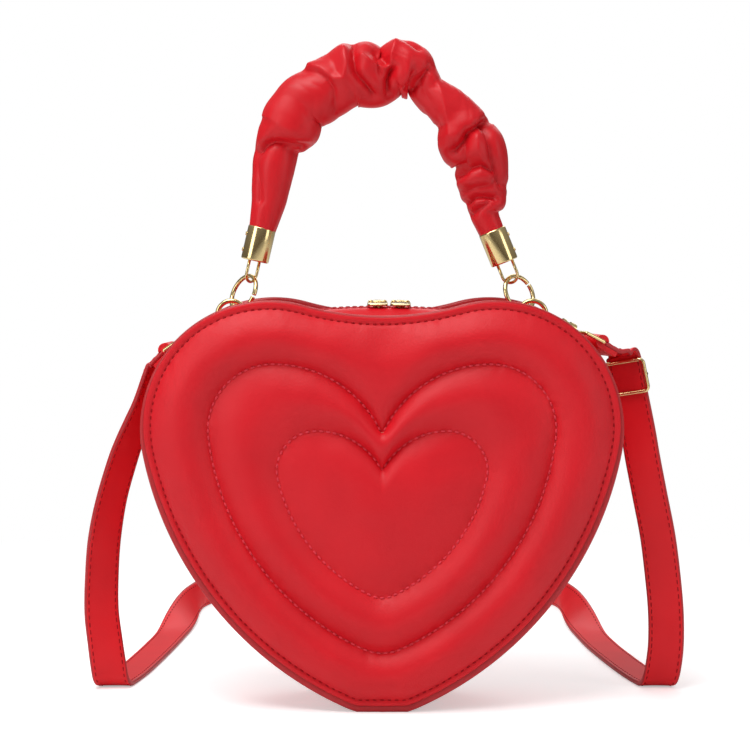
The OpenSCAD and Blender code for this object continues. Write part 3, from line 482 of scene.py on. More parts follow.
def cover_mesh(name, side, seed):
    """side -1 is the front, +1 the back."""
    pucker = wave_noise(flat, 7.5, seed, 2) * np.exp(-gap / 3.2) * 0.3
    pucker += wave_noise(flat, 30.0, seed + 1, 2) * 0.28 * (gap < 90) * (1 - np.exp(-gap / 6))
    h = height + np.where(gap < 90, pucker, 0)
    xyz = np.stack([flat[:, 0], side * (RIM + h), flat[:, 1]], 1)
    n = len(rings)
    xyz = np.concatenate([xyz, [[HEART_MID[0], side * (RIM + h[-RING:].mean()), HEART_MID[1]]]])
    i = np.arange(RING)
    j = (i + 1) % RING
    faces = []
    for k in range(n - 1):
        a, b = k * RING, (k + 1) * RING
        quad = np.stack([a + i, a + j, b + j, b + i], 1)
        faces.append(quad if side < 0 else quad[:, ::-1])
    tri = np.stack([(n - 1) * RING + i, (n - 1) * RING + j, np.full(RING, n * RING)], 1)
    tri = tri if side < 0 else tri[:, ::-1]
    o = new_object(name, xyz, [*np.concatenate(faces).tolist(), *tri.tolist()])
    return o


front = cover_mesh("quilted_front", -1, 3)
finish_piece(front, M_RED, "bag", "leather", "front_cover")
back = cover_mesh("quilted_back", 1, 5)
finish_piece(back, M_RED, "bag", "leather", "back_cover")
print("cover vertices:", len(front.data.vertices))


def resample(pts, step, closed=True):
    """Points every step mm along a line, with the direction at each."""
    p = np.concatenate([pts, pts[:1]]) if closed else np.asarray(pts)
    seg = np.linalg.norm(np.diff(p, axis=0), axis=1)
    at = np.concatenate([[0], np.cumsum(seg)])
    n = max(2, int(round(at[-1] / step)))
    s = np.arange(n) * at[-1] / n if closed else np.linspace(0, at[-1], n)
    q = np.stack([np.interp(s, at, p[:, k]) for k in range(p.shape[1])], 1)
    ahead = (s + 0.5) % at[-1] if closed else np.minimum(s + 0.5, at[-1])
    back_ = (s - 0.5) % at[-1] if closed else np.maximum(s - 0.5, 0)
    columns = [np.interp(ahead, at, c) - np.interp(back_, at, c) for c in p.T]
    d = np.stack(columns, 1)
    return q, d / np.maximum(np.linalg.norm(d, axis=1), 1e-9)[:, None]


def capsules(name, centres, dirs, ups, length, radius, sides=8):
    """Rounded thread pieces as one mesh: one capsule of six rings at each centre."""
    c, d = np.asarray(centres, float), np.asarray(dirs, float)
    u = np.asarray(ups, float) - (np.sum(np.asarray(ups) * d, 1))[:, None] * d
    u /= np.maximum(np.linalg.norm(u, axis=1), 1e-9)[:, None]
    w = np.cross(d, u)
    along = np.array([-0.5, -0.42, -0.25, 0.25, 0.42, 0.5]) * length
    wide = np.array([0.25, 0.75, 1, 1, 0.75, 0.25]) * radius
    a = np.arange(sides) / sides * 2 * math.pi
    verts = (
        c[:, None, None]
        + along[None, :, None, None] * d[:, None, None]
        + (wide[:, None] * np.cos(a))[None, :, :, None] * w[:, None, None]
        + (wide[:, None] * np.sin(a))[None, :, :, None] * u[:, None, None]
    ).reshape(-1, 3)
    k = np.arange(sides)
    local = [
        [r * sides + i, r * sides + (i + 1) % sides, (r + 1) * sides + (i + 1) % sides, (r + 1) * sides + i]
        for r in range(5)
        for i in k
    ]
    local = np.array(local)
    faces = (local[None] + (np.arange(len(c)) * 6 * sides)[:, None, None]).reshape(-1, 4)
    ends = [
        f
        for m in range(len(c))
        for f in ((m * 6 * sides + k[::-1]).tolist(), (m * 6 * sides + 5 * sides + k).tolist())
    ]
    return new_object(name, verts, [*faces.tolist(), *ends])


def seam_threads(name, outline, side, h, pitch, share, radius, material):
    """Stitches along a seam on a cover; h is their height over the border."""
    q, d = resample(outline, pitch)
    at = np.stack([q[:, 0], np.full(len(q), side * (RIM + h)), q[:, 1]], 1)
    dirs = np.stack([d[:, 0], np.zeros(len(q)), d[:, 1]], 1)
    ups = np.tile([0, side, 0], (len(q), 1))
    o = capsules(name, at, dirs, ups, pitch * share, radius)
    finish_piece(o, material, "bag", "leather")
    return o


for side, tag in ((-1, "front"), (1, "back")):
    # The quilting seams' stitches get the pink seam thread, whose lightness is painted highlight
    seam_threads(f"seam_a_thread_{tag}", SEAM_A, side, SEAM_H + 0.5, 3.3, 0.6, 0.5, M_SEAM_THREAD_HIGHLIGHT)
    seam_threads(f"seam_b_thread_{tag}", SEAM_B, side, SEAM_H + 0.8, 3.3, 0.6, 0.5, M_SEAM_THREAD_HIGHLIGHT)
    seam_threads(f"border_thread_{tag}", stitch_line, side, -0.15, 3.5, 0.5, 0.45, M_THREAD)

# %% [markdown]
# ## Border flanges, gusset and zip strips
# The gusset is recessed 6 mm behind the border. Its sewn flanges stick out to the full
# outline and show as a second, painted edge behind the cover.

# %%
BORDER_W, INNER_Y, SKIN = 6.0, 26.8, 1.2
ZIP_Z, ZIP_R, ZIP_HALF, TAB_X = 193.8, 400.0, 8.0, 74.5
JOIN_X = TAB_X + 6.5


def loft(sections, closed_u=True, closed_v=False):
    """Quads between rows of equal length: rows are v, points in a row are u."""
    s = np.asarray(sections, float)
    nv, nu = s.shape[:2]
    i = np.arange(nu if closed_u else nu - 1)
    j = (i + 1) % nu
    out = []
    for k in range(nv if closed_v else nv - 1):
        a, b = k * nu, ((k + 1) % nv) * nu
        out.append(np.stack([a + i, a + j, b + j, b + i], 1))
    return s.reshape(-1, 3), np.concatenate(out)


for side, tag in ((-1, "front"), (1, "back")):
    prof = [(7.2, 29.9), (1.2, 29.95), (0.45, 29.75), (0.08, 29.2), (0.0, 28.5), (0.08, 27.8)]
    prof += [(0.5, 27.1), (1.3, 26.75), (6.6, 26.8), (7.2, 27.3)]
    rows = [np.insert(heart(d), 1, side * y, axis=1) for d, y in prof]
    v, f = loft(rows, closed_v=True)
    o = new_object(f"border_flange_{tag}", v, f if side > 0 else f[:, ::-1])
    finish_piece(o, M_EDGE, "bag", "leather")

# Stiffening board and lining of each cover, held inside the painted rim
for tag in ("front", "back"):
    for part, mat, slot_name in (("board", M_BOARD, "board"), ("lining", M_LINING, "lining")):
        lo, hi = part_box(f"{tag}_{part}")
        rows = [np.insert(heart(1.8), 1, y / MM, axis=1) for y in (lo[1], hi[1])]
        v, f = loft(rows)
        ends = [list(range(RING))[::-1], list(range(RING, 2 * RING))]
        o = new_object(f"{tag}_{part}_plate", v, [*f.tolist(), *ends])
        o.data.polygons.foreach_set("use_smooth", np.zeros(len(o.data.polygons), bool))
        finish_piece(o, mat, "bag", slot_name, f"{tag}_{part}")

# Padding: 1.3 mm under the quilted surface, from 3 mm inside the border seam
for side, tag in ((-1, "front"), (1, "back")):
    lo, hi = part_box(f"{tag}_foam")
    y_in = min(abs(lo[1]), abs(hi[1])) / MM + 0.1
    picked = list(range(24, len(rings), 3))
    rows = [np.insert(rings[picked[0]], 1, side * y_in, axis=1)]
    for k in picked:
        y_out = np.maximum(RIM + heights[k] - 1.3, y_in + 0.2)
        rows.append(np.insert(rings[k], 1, side * y_out, axis=1))
    v, f = loft(rows)
    ends = [list(range(RING)), list(range(len(v) - RING, len(v)))[::-1]]
    o = new_object(f"{tag}_padding", v, [*f.tolist(), *ends])
    finish_piece(o, M_FOAM, "bag", "padding", f"{tag}_foam")

wall_out, wall_in = heart(BORDER_W), heart(BORDER_W + SKIN)
keep = ~((np.abs(wall_out[:, 0]) < JOIN_X) & (wall_out[:, 1] > LOBE_Z))
order = np.arange(RING)[keep]
start = int(np.argmax(np.diff(order) > 1)) + 1 if np.any(np.diff(order) > 1) else 0
order = np.roll(order, -start)
ys = np.linspace(-INNER_Y, INNER_Y, 25)
sag = 0.5 * np.cos(ys / INNER_Y * math.pi / 2)
rows = []
for y, g in zip(ys, sag):
    o_pts = heart(BORDER_W + g)[order]
    rows.append(np.insert(o_pts, 1, y, axis=1))
for y in ys[::-1]:
    rows.append(np.insert(wall_in[order], 1, y, axis=1))
v, f = loft(rows, closed_u=False, closed_v=True)
gusset = new_object("gusset_wall", v, f[:, ::-1])
finish_piece(gusset, M_RED, "bag", "leather", "gusset")


def top_z(x, d):
    """Height of the outline's upper edge over x, moved inwards by d."""
    x = np.abs(np.asarray(x, float))
    dip_z = LOBE_Z + math.sqrt((LOBE_R + DIP_R) ** 2 - LOBE_X**2)
    lim = LOBE_X * (DIP_R + d) / (LOBE_R + DIP_R)
    low = dip_z - np.sqrt(np.maximum((DIP_R + d) ** 2 - x * x, 0))
    high = LOBE_Z + np.sqrt(np.maximum((LOBE_R - d) ** 2 - (x - LOBE_X) ** 2, 0))
    return np.where(x < lim, low, high)


def arch(x):
    """Height of the zip's arch over x."""
    return ZIP_Z - ZIP_R + np.sqrt(ZIP_R**2 - np.asarray(x, float) ** 2)


xs = np.linspace(-JOIN_X, JOIN_X, 121)
for side, tag in ((-1, "front"), (1, "back")):
    rows = []
    v_t = np.linspace(0, 1, 17)
    for t in v_t:
        y = INNER_Y + (ZIP_HALF - INNER_Y) * t
        z = top_z(xs, BORDER_W) + (arch(xs) - top_z(xs, BORDER_W)) * smooth(t * 1.12)
        rows.append(np.stack([xs, np.full(121, side * y), z + 0.25 * math.sin(math.pi * t)], 1))
    lip = rows[-1] + [0, -side * 0.35, -0.35]
    rows.append(lip)
    for t in v_t[::-1]:
        y = INNER_Y + (ZIP_HALF - INNER_Y) * t
        z = top_z(xs, BORDER_W) + (arch(xs) - top_z(xs, BORDER_W)) * smooth(t * 1.12) - SKIN
        rows.append(np.stack([xs, np.full(121, side * y), z], 1))
    v, f = loft(rows, closed_u=False, closed_v=True)
    strip = new_object(f"zip_leather_{tag}", v, f if side < 0 else f[:, ::-1])
    finish_piece(strip, M_RED, "bag", "leather", f"zip_strip_{tag}")
    line = np.stack([xs, np.full(121, side * (ZIP_HALF + 2.2)), arch(xs) + 0.15], 1)
    q, d = resample(line, 3.3, closed=False)
    th = capsules(f"zip_leather_thread_{tag}", q, d, np.tile([0, 0, 1.0], (len(q), 1)), 2.3, 0.33)
    finish_piece(th, M_THREAD, "bag", "leather")

# The gusset's side seams, where the zip strips are sewn on over it
for s in (-1, 1):
    seam_rows = []
    for dx, dz in ((-3.5, 0.15), (-3.3, 0.9), (3.3, 0.9), (3.5, 0.15)):
        x = s * (JOIN_X - 2) + dx
        seam_rows.append([(x, y, float(top_z(x, BORDER_W)) + dz) for y in np.linspace(-26.4, 26.4, 30)])
    v, f = loft(seam_rows, closed_u=False)
    joint = new_object(f"zip_end_cover_{'left' if s < 0 else 'right'}", v, f[:, ::-1])
    finish_piece(joint, M_RED, "bag", "leather")


# %% [markdown]
# ## Zip
# Tapes lie under the strips. The closed coil is a row of rounded teeth from both sides
# that mesh in the middle, one every 1.5 mm.

# %%
for side, tag in ((-1, "front"), (1, "back")):
    rows = []
    xt = np.linspace(-JOIN_X + 2, JOIN_X - 2, 100)
    for y, dz in ((11, -1.2), (0.5, -1.15), (0.5, -1.8), (11, -1.8)):
        rows.append(np.stack([xt, np.full(100, side * y), arch(xt) + dz], 1))
    v, f = loft(rows, closed_u=False, closed_v=True)
    tape = new_object(f"zip_tape_{tag}_cloth", v, f if side < 0 else f[:, ::-1], smooth=False)
    finish_piece(tape, M_TAPE, "bag", "zip_tape", f"zip_tape_{tag}")
    a = np.arange(-62, 62, 1.5) / ZIP_R + (0.75 / ZIP_R if side > 0 else 0)
    r = ZIP_R - 0.55
    at = np.stack([r * np.sin(a), np.full(len(a), side * 0.95), ZIP_Z - ZIP_R + r * np.cos(a)], 1)
    up = np.stack([np.sin(a), 0 * a, np.cos(a)], 1)
    teeth = capsules(f"coil_{tag}", at, np.tile([0, 1.0, 0], (len(a), 1)), up, 2.9, 0.52, sides=8)
    finish_piece(teeth, M_TAPE, "bag", "zip_tape", f"zip_teeth_{tag}")


def frame_points(pts, origin, ax, az):
    """Local points put in the row frame: ax and az are the local X and Z directions."""
    ax, az = np.asarray(ax, float), np.asarray(az, float)
    ay = np.cross(az, ax)
    p = np.asarray(pts, float)
    return np.asarray(origin) + p[:, :1] * ax + p[:, 1:2] * ay + p[:, 2:] * az


def prism(name, outline, z0, z1, place, bevel=0.3, segments=3):
    """A flat plate with rounded edges in a local frame (origin, ax, az)."""
    n = len(outline)
    p = np.array([(x, y, z) for z in (z0, z1) for x, y in outline])
    faces = [list(range(n))[::-1], list(range(n, 2 * n))]
    faces += [[i, (i + 1) % n, n + (i + 1) % n, n + i] for i in range(n)]
    o = new_object(name, frame_points(p, *place), faces, smooth=True)
    m = o.modifiers.new("bevel", "BEVEL")
    m.width, m.segments, m.limit_method, m.angle_limit = bevel * MM, segments, "ANGLE", 0.6
    w = o.modifiers.new("normals", "WEIGHTED_NORMAL")
    w.keep_sharp = True
    return o


def join(name, objs):
    """Applies modifiers and joins objects into one mesh object."""
    dg = bpy.context.evaluated_depsgraph_get()
    dg.update()
    verts, faces = [], []
    base = 0
    for o in objs:
        me = o.evaluated_get(dg).to_mesh()
        co = np.zeros(len(me.vertices) * 3)
        me.vertices.foreach_get("co", co)
        verts.append(co.reshape(-1, 3) / MM)
        faces += [[base + i for i in p.vertices] for p in me.polygons]
        base += len(me.vertices)
    for o in objs:
        me = o.data
        bpy.data.objects.remove(o)
        bpy.data.meshes.remove(me)
    out = new_object(name, np.concatenate(verts), faces)
    shade_by_angle(out)
    return out


def shade_by_angle(o, degrees=35):
    """Sharp edges over an angle, smooth shading elsewhere."""
    me = o.data
    me.polygons.foreach_set("use_smooth", np.ones(len(me.polygons), bool))
    nrm = np.zeros(len(me.polygons) * 3)
    me.polygons.foreach_get("normal", nrm)
    nrm = nrm.reshape(-1, 3)
    seen = {}
    for p in me.polygons:
        for e in p.edge_keys:
            seen.setdefault(e, []).append(p.index)
    cosine = math.cos(math.radians(degrees))
    sharp = np.zeros(len(me.edges), bool)
    for i, e in enumerate(me.edges):
        fs = seen.get(tuple(sorted(e.vertices)), [])
        sharp[i] = len(fs) == 2 and float(nrm[fs[0]] @ nrm[fs[1]]) < cosine
    attr = me.attributes.get("sharp_edge") or me.attributes.new("sharp_edge", "BOOLEAN", "EDGE")
    attr.data.foreach_set("value", sharp)


def tube(name, pts, radius, sides=16, closed=False, ref=(0, 1, 0)):
    """A round wire along points, its ring turned by parallel transport."""
    p = np.asarray(pts, float)
    n = len(p)
    if closed:
        t = np.roll(p, -1, 0) - np.roll(p, 1, 0)
    else:
        t = np.gradient(p, axis=0)
    t /= np.linalg.norm(t, axis=1)[:, None]
    u = np.zeros((n, 3))
    a = np.asarray(ref, float)
    for i in range(n):
        a = a - (a @ t[i]) * t[i]
        a /= np.linalg.norm(a)
        u[i] = a
    w = np.cross(t, u)
    ang = np.arange(sides) / sides * 2 * math.pi
    r = np.broadcast_to(np.asarray(radius, float), (n,))
    round_ = np.cos(ang)[None, :, None] * u[:, None] + np.sin(ang)[None, :, None] * w[:, None]
    v = p[:, None] + r[:, None, None] * round_
    verts, faces = loft(v, closed_v=closed)
    faces = faces.tolist()
    if not closed:
        faces += [list(range(sides))[::-1], list(range((n - 1) * sides, n * sides))]
    return new_object(name, verts, faces)


SLIDER_X, PAIR_X, DROOP = 5.65, 3.5, math.radians(6)
for s, tag in ((-1, "left"), (1, "right")):
    a0 = math.asin((PAIR_X + s * SLIDER_X) / ZIP_R)
    up = np.array([math.sin(a0), 0, math.cos(a0)])
    ax = np.array([math.cos(a0), 0, -math.sin(a0)])
    place = (np.array([0, 0, ZIP_Z - ZIP_R]) + ZIP_R * up, ax, up)
    k = np.linspace(0, 2 * math.pi, 40, endpoint=False)
    # pointed towards the middle of the zip, where the two sliders meet nose to nose
    body = np.stack([5.1 * np.cos(k), 3.9 * np.sin(k) * (1 - 0.28 * (-s) * np.cos(k) * -1)], 1)
    body = np.sign(body) * np.abs(body / [5.1, 3.9]) ** 0.75 * [5.1, 3.9]
    parts = [prism("t", body, 0.55, 1.6, place, 0.35), prism("u", body * 0.96, -3.0, -2.1, place, 0.3)]
    parts.append(prism("n", [(-2.4, -0.4), (2.4, -0.4), (2.4, 0.4), (-2.4, 0.4)], -2.4, 0.8, place, 0.1))
    half = [(4.4, 0, 1.2), (4.4, 0, 2.2), (4.1, 0, 2.8), (3.6, 0, 3.1)]
    half += [(3.0, 0, 3.1), (2.6, 0, 2.9), (2.2, 0, 2.75)]
    bridge = [(-x, y, z) for x, y, z in half] + half[::-1]
    parts.append(tube("b", frame_points(bridge, *place), 0.55, 14))
    slider = join(f"zip_slider_{tag}", parts)
    finish_piece(slider, M_GOLD, f"slider_{tag}", "gold", f"slider_{tag}")
    top = np.array([(-1.6, 0.5), (1.6, 0.5), (1.9, -1.5), (4.1, -4), (5.0, -8), (4.8, -11.6), (3.6, -13.4)])
    outline = np.concatenate([top, top[::-1] * [-1, 1]])[:, :2]
    outline = np.array([(x, y) for x, y in outline])
    # drooped about the pin, which is 2.75 over the arch
    low = (place[0] + 2.75 * up, ax, math.cos(DROOP) * up - np.array([0, math.sin(DROOP), 0]))
    pull_parts = [prism("p", outline[::-1], -0.5, 0.5, low, 0.35)]
    pull_parts.append(tube("h", frame_points([(-1.9, 0, 0), (1.9, 0, 0)], *low), 0.9, 16))
    pull = join(f"zip_pull_{tag}", pull_parts)
    finish_piece(pull, M_GOLD, f"pull_{tag}", "gold", f"pull_{tag}")

# The keel: the gusset's two ends, sewn together under the tip
keel = prism(
    "gusset_keel", [(-1.2, -29.4), (1.2, -29.4), (1.2, 29.4), (-1.2, 29.4)], 0.0, 7.0,
    (np.zeros(3), [1, 0, 0], [0, 0, 1]), 0.25,
)
finish_piece(keel, M_EDGE, "bag", "leather")

# %% [markdown]
# ## Leather tabs over the zip's ends

# %%
TAB_Z = float(arch(TAB_X)) + 0.3
BAR_Z = TAB_Z + 1.5
BOW_Z, LOOP_R = BAR_Z + 0.6, 6.8
for s, tag in ((-1, "left"), (1, "right")):
    ys = np.concatenate([np.linspace(-13, -3.2, 12), np.linspace(-2.9, 2.9, 19), np.linspace(3.2, 13, 12)])
    arch = np.sqrt(2.45**2 - np.minimum(np.abs(ys), 2.44) ** 2)
    hump = np.where(np.abs(ys) < 3.0, arch, 0)
    ztop = np.maximum(TAB_Z + 1.2, BAR_Z + hump)
    rows = []
    for dx, dz in ((-2.0, -0.25), (-1.7, 0.0), (1.7, 0.0), (2.0, -0.25)):
        rows.append(np.stack([np.full(len(ys), s * TAB_X + dx), ys, ztop + dz], 1))
    for dx in (2.0, -2.0):
        rows.append(np.stack([np.full(len(ys), s * TAB_X + dx), ys, np.full(len(ys), TAB_Z + 0.05)], 1))
    v, f = loft(rows, closed_u=False, closed_v=True)
    tab = new_object(f"ring_tab_{tag}", v, f[:, ::-1])
    finish_piece(tab, M_RED, "bag", "leather", f"tab_{tag}")

# %% [markdown]
# ## Rings, bails and end caps
# A half-round ring stands in each tab. A split ring stands in its bow, leaned towards
# the middle. The handle's bails go round the split rings' highest points.

# %%
RING_R = (20.5 - 2.2) / 2
RING_FOOT = LOOP_R - 1.2 - 1.1 - 0.6


def rot(axis, deg):
    """Rotation matrix about a main axis."""
    co, si = math.cos(math.radians(deg)), math.sin(math.radians(deg))
    m = {"x": [[1, 0, 0], [0, co, -si], [0, si, co]]}
    m["y"] = [[co, 0, si], [0, 1, 0], [-si, 0, co]]
    m["z"] = [[co, -si, 0], [si, co, 0], [0, 0, 1]]
    return np.array(m[axis], float)


def lathe(name, profile, place_o, place_m, n=72):
    """Turns (radius, height) points about the local Z axis."""
    a = np.arange(n) / n * 2 * math.pi
    rows = [np.stack([r * np.cos(a), r * np.sin(a), np.full(n, z)], 1) for r, z in profile]
    v, f = loft(rows)
    v = v @ place_m.T + place_o
    k = len(profile)
    faces = [*f.tolist(), list(range(n))[::-1], list(range((k - 1) * n, k * n))]
    o = new_object(name, v, faces)
    shade_by_angle(o, 40)
    return o


BAIL_R, BAIL_L, CAP_D, CAP_L = (6.7 + 1.5) / 2, 10.5, 13.8, 17.0
HANG = 1.1 + 0.75 + 0.85
cap_line = {}
for s, tag, ring_lean, turn, lean, bail_turn in (
    (-1, "left", 28, -55, 13, 56),
    (1, "right", 30, 45, 22, -25),
):
    k = np.radians(np.linspace(0, 180, 60))
    arc = [(x, 0.6 + z) for x, z in zip(-LOOP_R * np.cos(k), LOOP_R * np.sin(k))]
    bow = [(-LOOP_R, 0), *arc, (LOOP_R, 0)]
    corner = [(LOOP_R - 0.25, -0.5), (LOOP_R - 0.8, -0.8)]
    bar = [(x, -0.9) for x in np.linspace(LOOP_R - 1.4, -LOOP_R + 1.4, 12)]
    path = [*bow, *corner, *bar, (-LOOP_R + 0.8, -0.8), (-LOOP_R + 0.25, -0.5)]
    pts = [(s * TAB_X + x, 0, BAR_Z + 0.9 + z) for x, z in path]
    d_ring = tube(f"half_round_ring_{tag}", pts, 1.2, 20, closed=True)
    finish_piece(d_ring, M_GOLD, f"d_ring_{tag}", "gold", f"loop_{tag}")

    way = rot("y", -s * ring_lean) @ np.array([0, 0, 1])
    bow_mid = np.array([s * TAB_X, 0, BOW_Z])
    foot = bow_mid + RING_FOOT * way
    m = rot("y", -s * ring_lean) @ rot("z", turn)
    a = np.radians(np.linspace(12, 12 + 360 - 360 / (2 * math.pi * RING_R), 150))
    pts = np.stack([RING_R * np.cos(a), 0 * a, RING_R + RING_R * np.sin(a)], 1) @ m.T + foot
    o_ring = tube(f"split_ring_{tag}", pts, 1.1, 20, ref=m @ np.array([0, 1, 0]))
    finish_piece(o_ring, M_GOLD, f"o_ring_{tag}", "gold", f"ring_{tag}")

    bail_foot = foot + (2 * RING_R - HANG) * way
    cm = rot("y", -s * lean)
    bm = cm @ rot("z", bail_turn)
    k = np.radians(np.linspace(180, 360, 40))
    u_pts = [(-BAIL_R, 0, BAIL_L + 2), *zip(BAIL_R * np.cos(k), 0 * k, BAIL_R + BAIL_R * np.sin(k))]
    u_pts.append((BAIL_R, 0, BAIL_L + 2))
    u_pts = np.array(u_pts) @ bm.T + bail_foot
    bail = tube(f"bail_{tag}_wire", u_pts, 0.75, 14, ref=bm @ np.array([0, 1, 0]))
    finish_piece(bail, M_GOLD, "handle", "gold", f"bail_{tag}")
    r = CAP_D / 2
    prof = [(r - 1.0, BAIL_L), (r - 0.35, BAIL_L + 0.1), (r - 0.05, BAIL_L + 0.45), (r, BAIL_L + 0.8)]
    prof += [(r, BAIL_L + CAP_L - 0.7), (r - 0.12, BAIL_L + CAP_L - 0.25), (r - 0.4, BAIL_L + CAP_L)]
    prof += [(r - 0.8, BAIL_L + CAP_L - 0.1), (r - 0.8, BAIL_L + CAP_L - 2.5)]
    cap = lathe(f"end_cap_{tag}", prof, bail_foot, cm)
    finish_piece(cap, M_GOLD, "handle", "gold", f"cap_{tag}")
    screws = []
    for h in (4.5, 12.5):
        at = bail_foot + cm @ np.array([s * (r - 0.2), 0, BAIL_L + h])
        sm = cm @ rot("y", s * 90)
        screws.append(lathe("screw", [(0.95, 0), (0.95, 0.55), (0.8, 0.7), (0.3, 0.55)], at, sm, 24))
    screw = join(f"cap_screws_{tag}", screws)
    finish_piece(screw, M_GOLD, "handle", "gold", *(["cap_screws"] if s < 0 else []))
    cap_line[s] = (bail_foot, cm @ np.array([0, 0, 1.0]))

# %% [markdown]
# ## Ruched handle
# The sleeve's two outlines in the front view give its middle line and its width. The
# folds of the front are drawn one by one. At the back they are ridges `|sin|` with sharp
# valleys, bent by slow noise, that run round the sleeve at a slant.

# %%
PX = 0.495


def from_view(pts):
    """Places in the front view to X and Z at the middle of the bag's depth, in mm."""
    p = np.asarray(pts, float)
    return np.stack([(p[:, 0] - 382) * PX, 227 - (p[:, 1] - 240) * PX], 1)


OUTER = from_view(
    [(253, 222), (251, 190), (252, 158), (263, 110), (276, 91), (306, 68), (332, 48), (352, 41), (367, 48)]
    + [(377, 53), (397, 39), (412, 38), (420, 50), (430, 73), (455, 86), (478, 106), (501, 130)]
    + [(506, 163), (505, 196), (495, 206), (501, 222)]
)
INNER = from_view(
    [(280, 227), (287, 205), (292, 186), (302, 146), (319, 139), (327, 116), (342, 113), (365, 100)]
    + [(384, 109), (389, 98), (405, 100), (413, 91), (428, 116), (445, 136), (444, 163), (460, 177)]
    + [(460, 197), (468, 214), (476, 231)]
)


def along(p, n, passes=0):
    """n evenly spaced points along a line through p."""
    seg = np.concatenate([[0], np.cumsum(np.linalg.norm(np.diff(p, axis=0), axis=1))])
    s = np.linspace(0, seg[-1], n)
    q = np.stack([np.interp(s, seg, p[:, k]) for k in range(p.shape[1])], 1)
    for _ in range(passes):
        q[1:-1] = (q[:-2] + 2 * q[1:-1] + q[2:]) / 4
    return q


NS, NT = 520, 150
# Pairs of places on the two outlines that face each other, as shares of their lengths
pair_o = [0, 0.22, 0.36, 0.5, 0.6, 0.7, 0.84, 1.0]
pair_i = [0, 0.30, 0.42, 0.5, 0.6, 0.7, 0.86, 1.0]
ts = np.linspace(0, 1, NS)
o_line, i_line = along(OUTER, 900, 6), along(INNER, 900, 6)
share = np.interp(ts, np.linspace(0, 1, 8), pair_o), np.interp(ts, np.linspace(0, 1, 8), pair_i)
grid = np.linspace(0, 1, 900)
po = np.stack([np.interp(share[0], grid, o_line[:, k]) for k in (0, 1)], 1)
pi_ = np.stack([np.interp(share[1], grid, i_line[:, k]) for k in (0, 1)], 1)
mid = (po + pi_) / 2
half_w = np.linalg.norm(po - pi_, axis=1) / 2
# Both ends run into the caps
for s, side in ((-1, 0), (1, 1)):
    foot, up = cap_line[s]
    inside = foot + up * (BAIL_L + 6)
    lip = foot + up * (BAIL_L + CAP_L + 1)
    ends = np.array([[inside[0], inside[2]], [lip[0], lip[2]]])
    w_end = np.array([5.7, 5.9])
    if side == 0:
        mid, half_w = np.concatenate([ends, mid[14:]]), np.concatenate([w_end, half_w[14:]])
    else:
        mid, half_w = np.concatenate([mid[:-14], ends[::-1]]), np.concatenate([half_w[:-14], w_end])
line = np.column_stack([mid, half_w])
for _ in range(3):
    line[1:-1] = (line[:-2] + 2 * line[1:-1] + line[2:]) / 4
line = along(line, NS, 10)
mid, half_w = line[:, :2], line[:, 2]
seg = np.concatenate([[0], np.cumsum(np.linalg.norm(np.diff(mid, axis=0), axis=1))])
total = seg[-1]
print("handle middle line, mm:", round(float(total), 1))
tang = np.gradient(mid, axis=0)
for _ in range(60):
    tang[1:-1] = (tang[:-2] + 2 * tang[1:-1] + tang[2:]) / 4
tang /= np.linalg.norm(tang, axis=1)[:, None]
normal = np.stack([-tang[:, 1], tang[:, 0]], 1)
theta = np.arange(NT) / NT * 2 * math.pi
L, TH = np.meshgrid(seg, theta, indexing="ij")
cyl = np.stack([L.ravel() / 10, np.cos(TH).ravel() * 1.3, np.sin(TH).ravel() * 1.3], 1)
n1 = wave_noise(cyl, 5.0, 11, 2).reshape(L.shape)
n2 = wave_noise(cyl, 3.0, 12, 2).reshape(L.shape)


def ridge(x, sharp=0.75):
    """Round tops and sharp valleys, from 0 to 1."""
    return np.abs(np.sin(math.pi * x)) ** sharp


# Folds seen from the front: places in the view, depth and reach in mm (a ridge has a
# negative depth), and the step in mm by which the cloth left of the line lies higher.
FOLDS = [
    ([(256, 149), (264, 143), (274, 140), (286, 142), (298, 145), (309, 146)], 3.0, 2.6, 2.6),
    ([(306, 69), (318, 72), (329, 80), (336, 91), (338, 102), (337, 113)], 2.2, 2.6, 0.9),
    ([(309, 66), (321, 70), (334, 80), (343, 80), (347, 68), (345, 50)], -1.8, 2.6, 0.0),
    ([(328, 56), (333, 64), (336, 72)], 1.8, 5.0, 0.0),
    ([(352, 43), (352, 56), (355, 74), (361, 85), (370, 99)], 4.2, 2.8, -1.4),
    ([(362, 55), (373, 64), (383, 69), (390, 67), (391, 56), (396, 43)], -2.0, 2.0, 0.0),
    ([(377, 51), (381, 58), (385, 63)], 4.0, 4.0, 0.0),
    ([(391, 70), (388, 83), (389, 96)], 4.6, 2.0, -1.2),
    ([(404, 37), (411, 42), (419, 48)], 2.6, 1.8, 0.0),
    ([(428, 68), (421, 77), (414, 83), (407, 91)], 3.0, 2.2, -2.0),
    ([(428, 71), (438, 86), (445, 109), (449, 134)], -2.0, 4.0, 0.0),
    ([(420, 86), (430, 104), (440, 126)], 1.6, 5.0, 0.0),
    ([(485, 121), (476, 127), (467, 133), (458, 144), (450, 152)], 3.6, 2.4, -2.2),
    ([(485, 124), (489, 142), (491, 158), (498, 172), (502, 184)], 3.0, 2.0, -1.0),
    ([(466, 136), (463, 150), (461, 166)], 1.8, 2.6, 0.0),
    ([(476, 135), (477, 150), (482, 163)], -1.4, 2.6, 0.0),
    ([(456, 177), (467, 170), (480, 167), (492, 172)], 3.6, 2.2, -1.6),
    ([(462, 192), (474, 188), (488, 186), (498, 180)], 2.0, 2.2, 0.0),
    ([(464, 205), (472, 199), (484, 198), (495, 199)], 3.4, 2.0, -1.2),
    ([(468, 216), (478, 209), (488, 204)], 2.4, 2.0, 0.0),
    ([(254, 135), (253, 154), (258, 180), (260, 200)], 1.6, 2.2, 0.0),
]


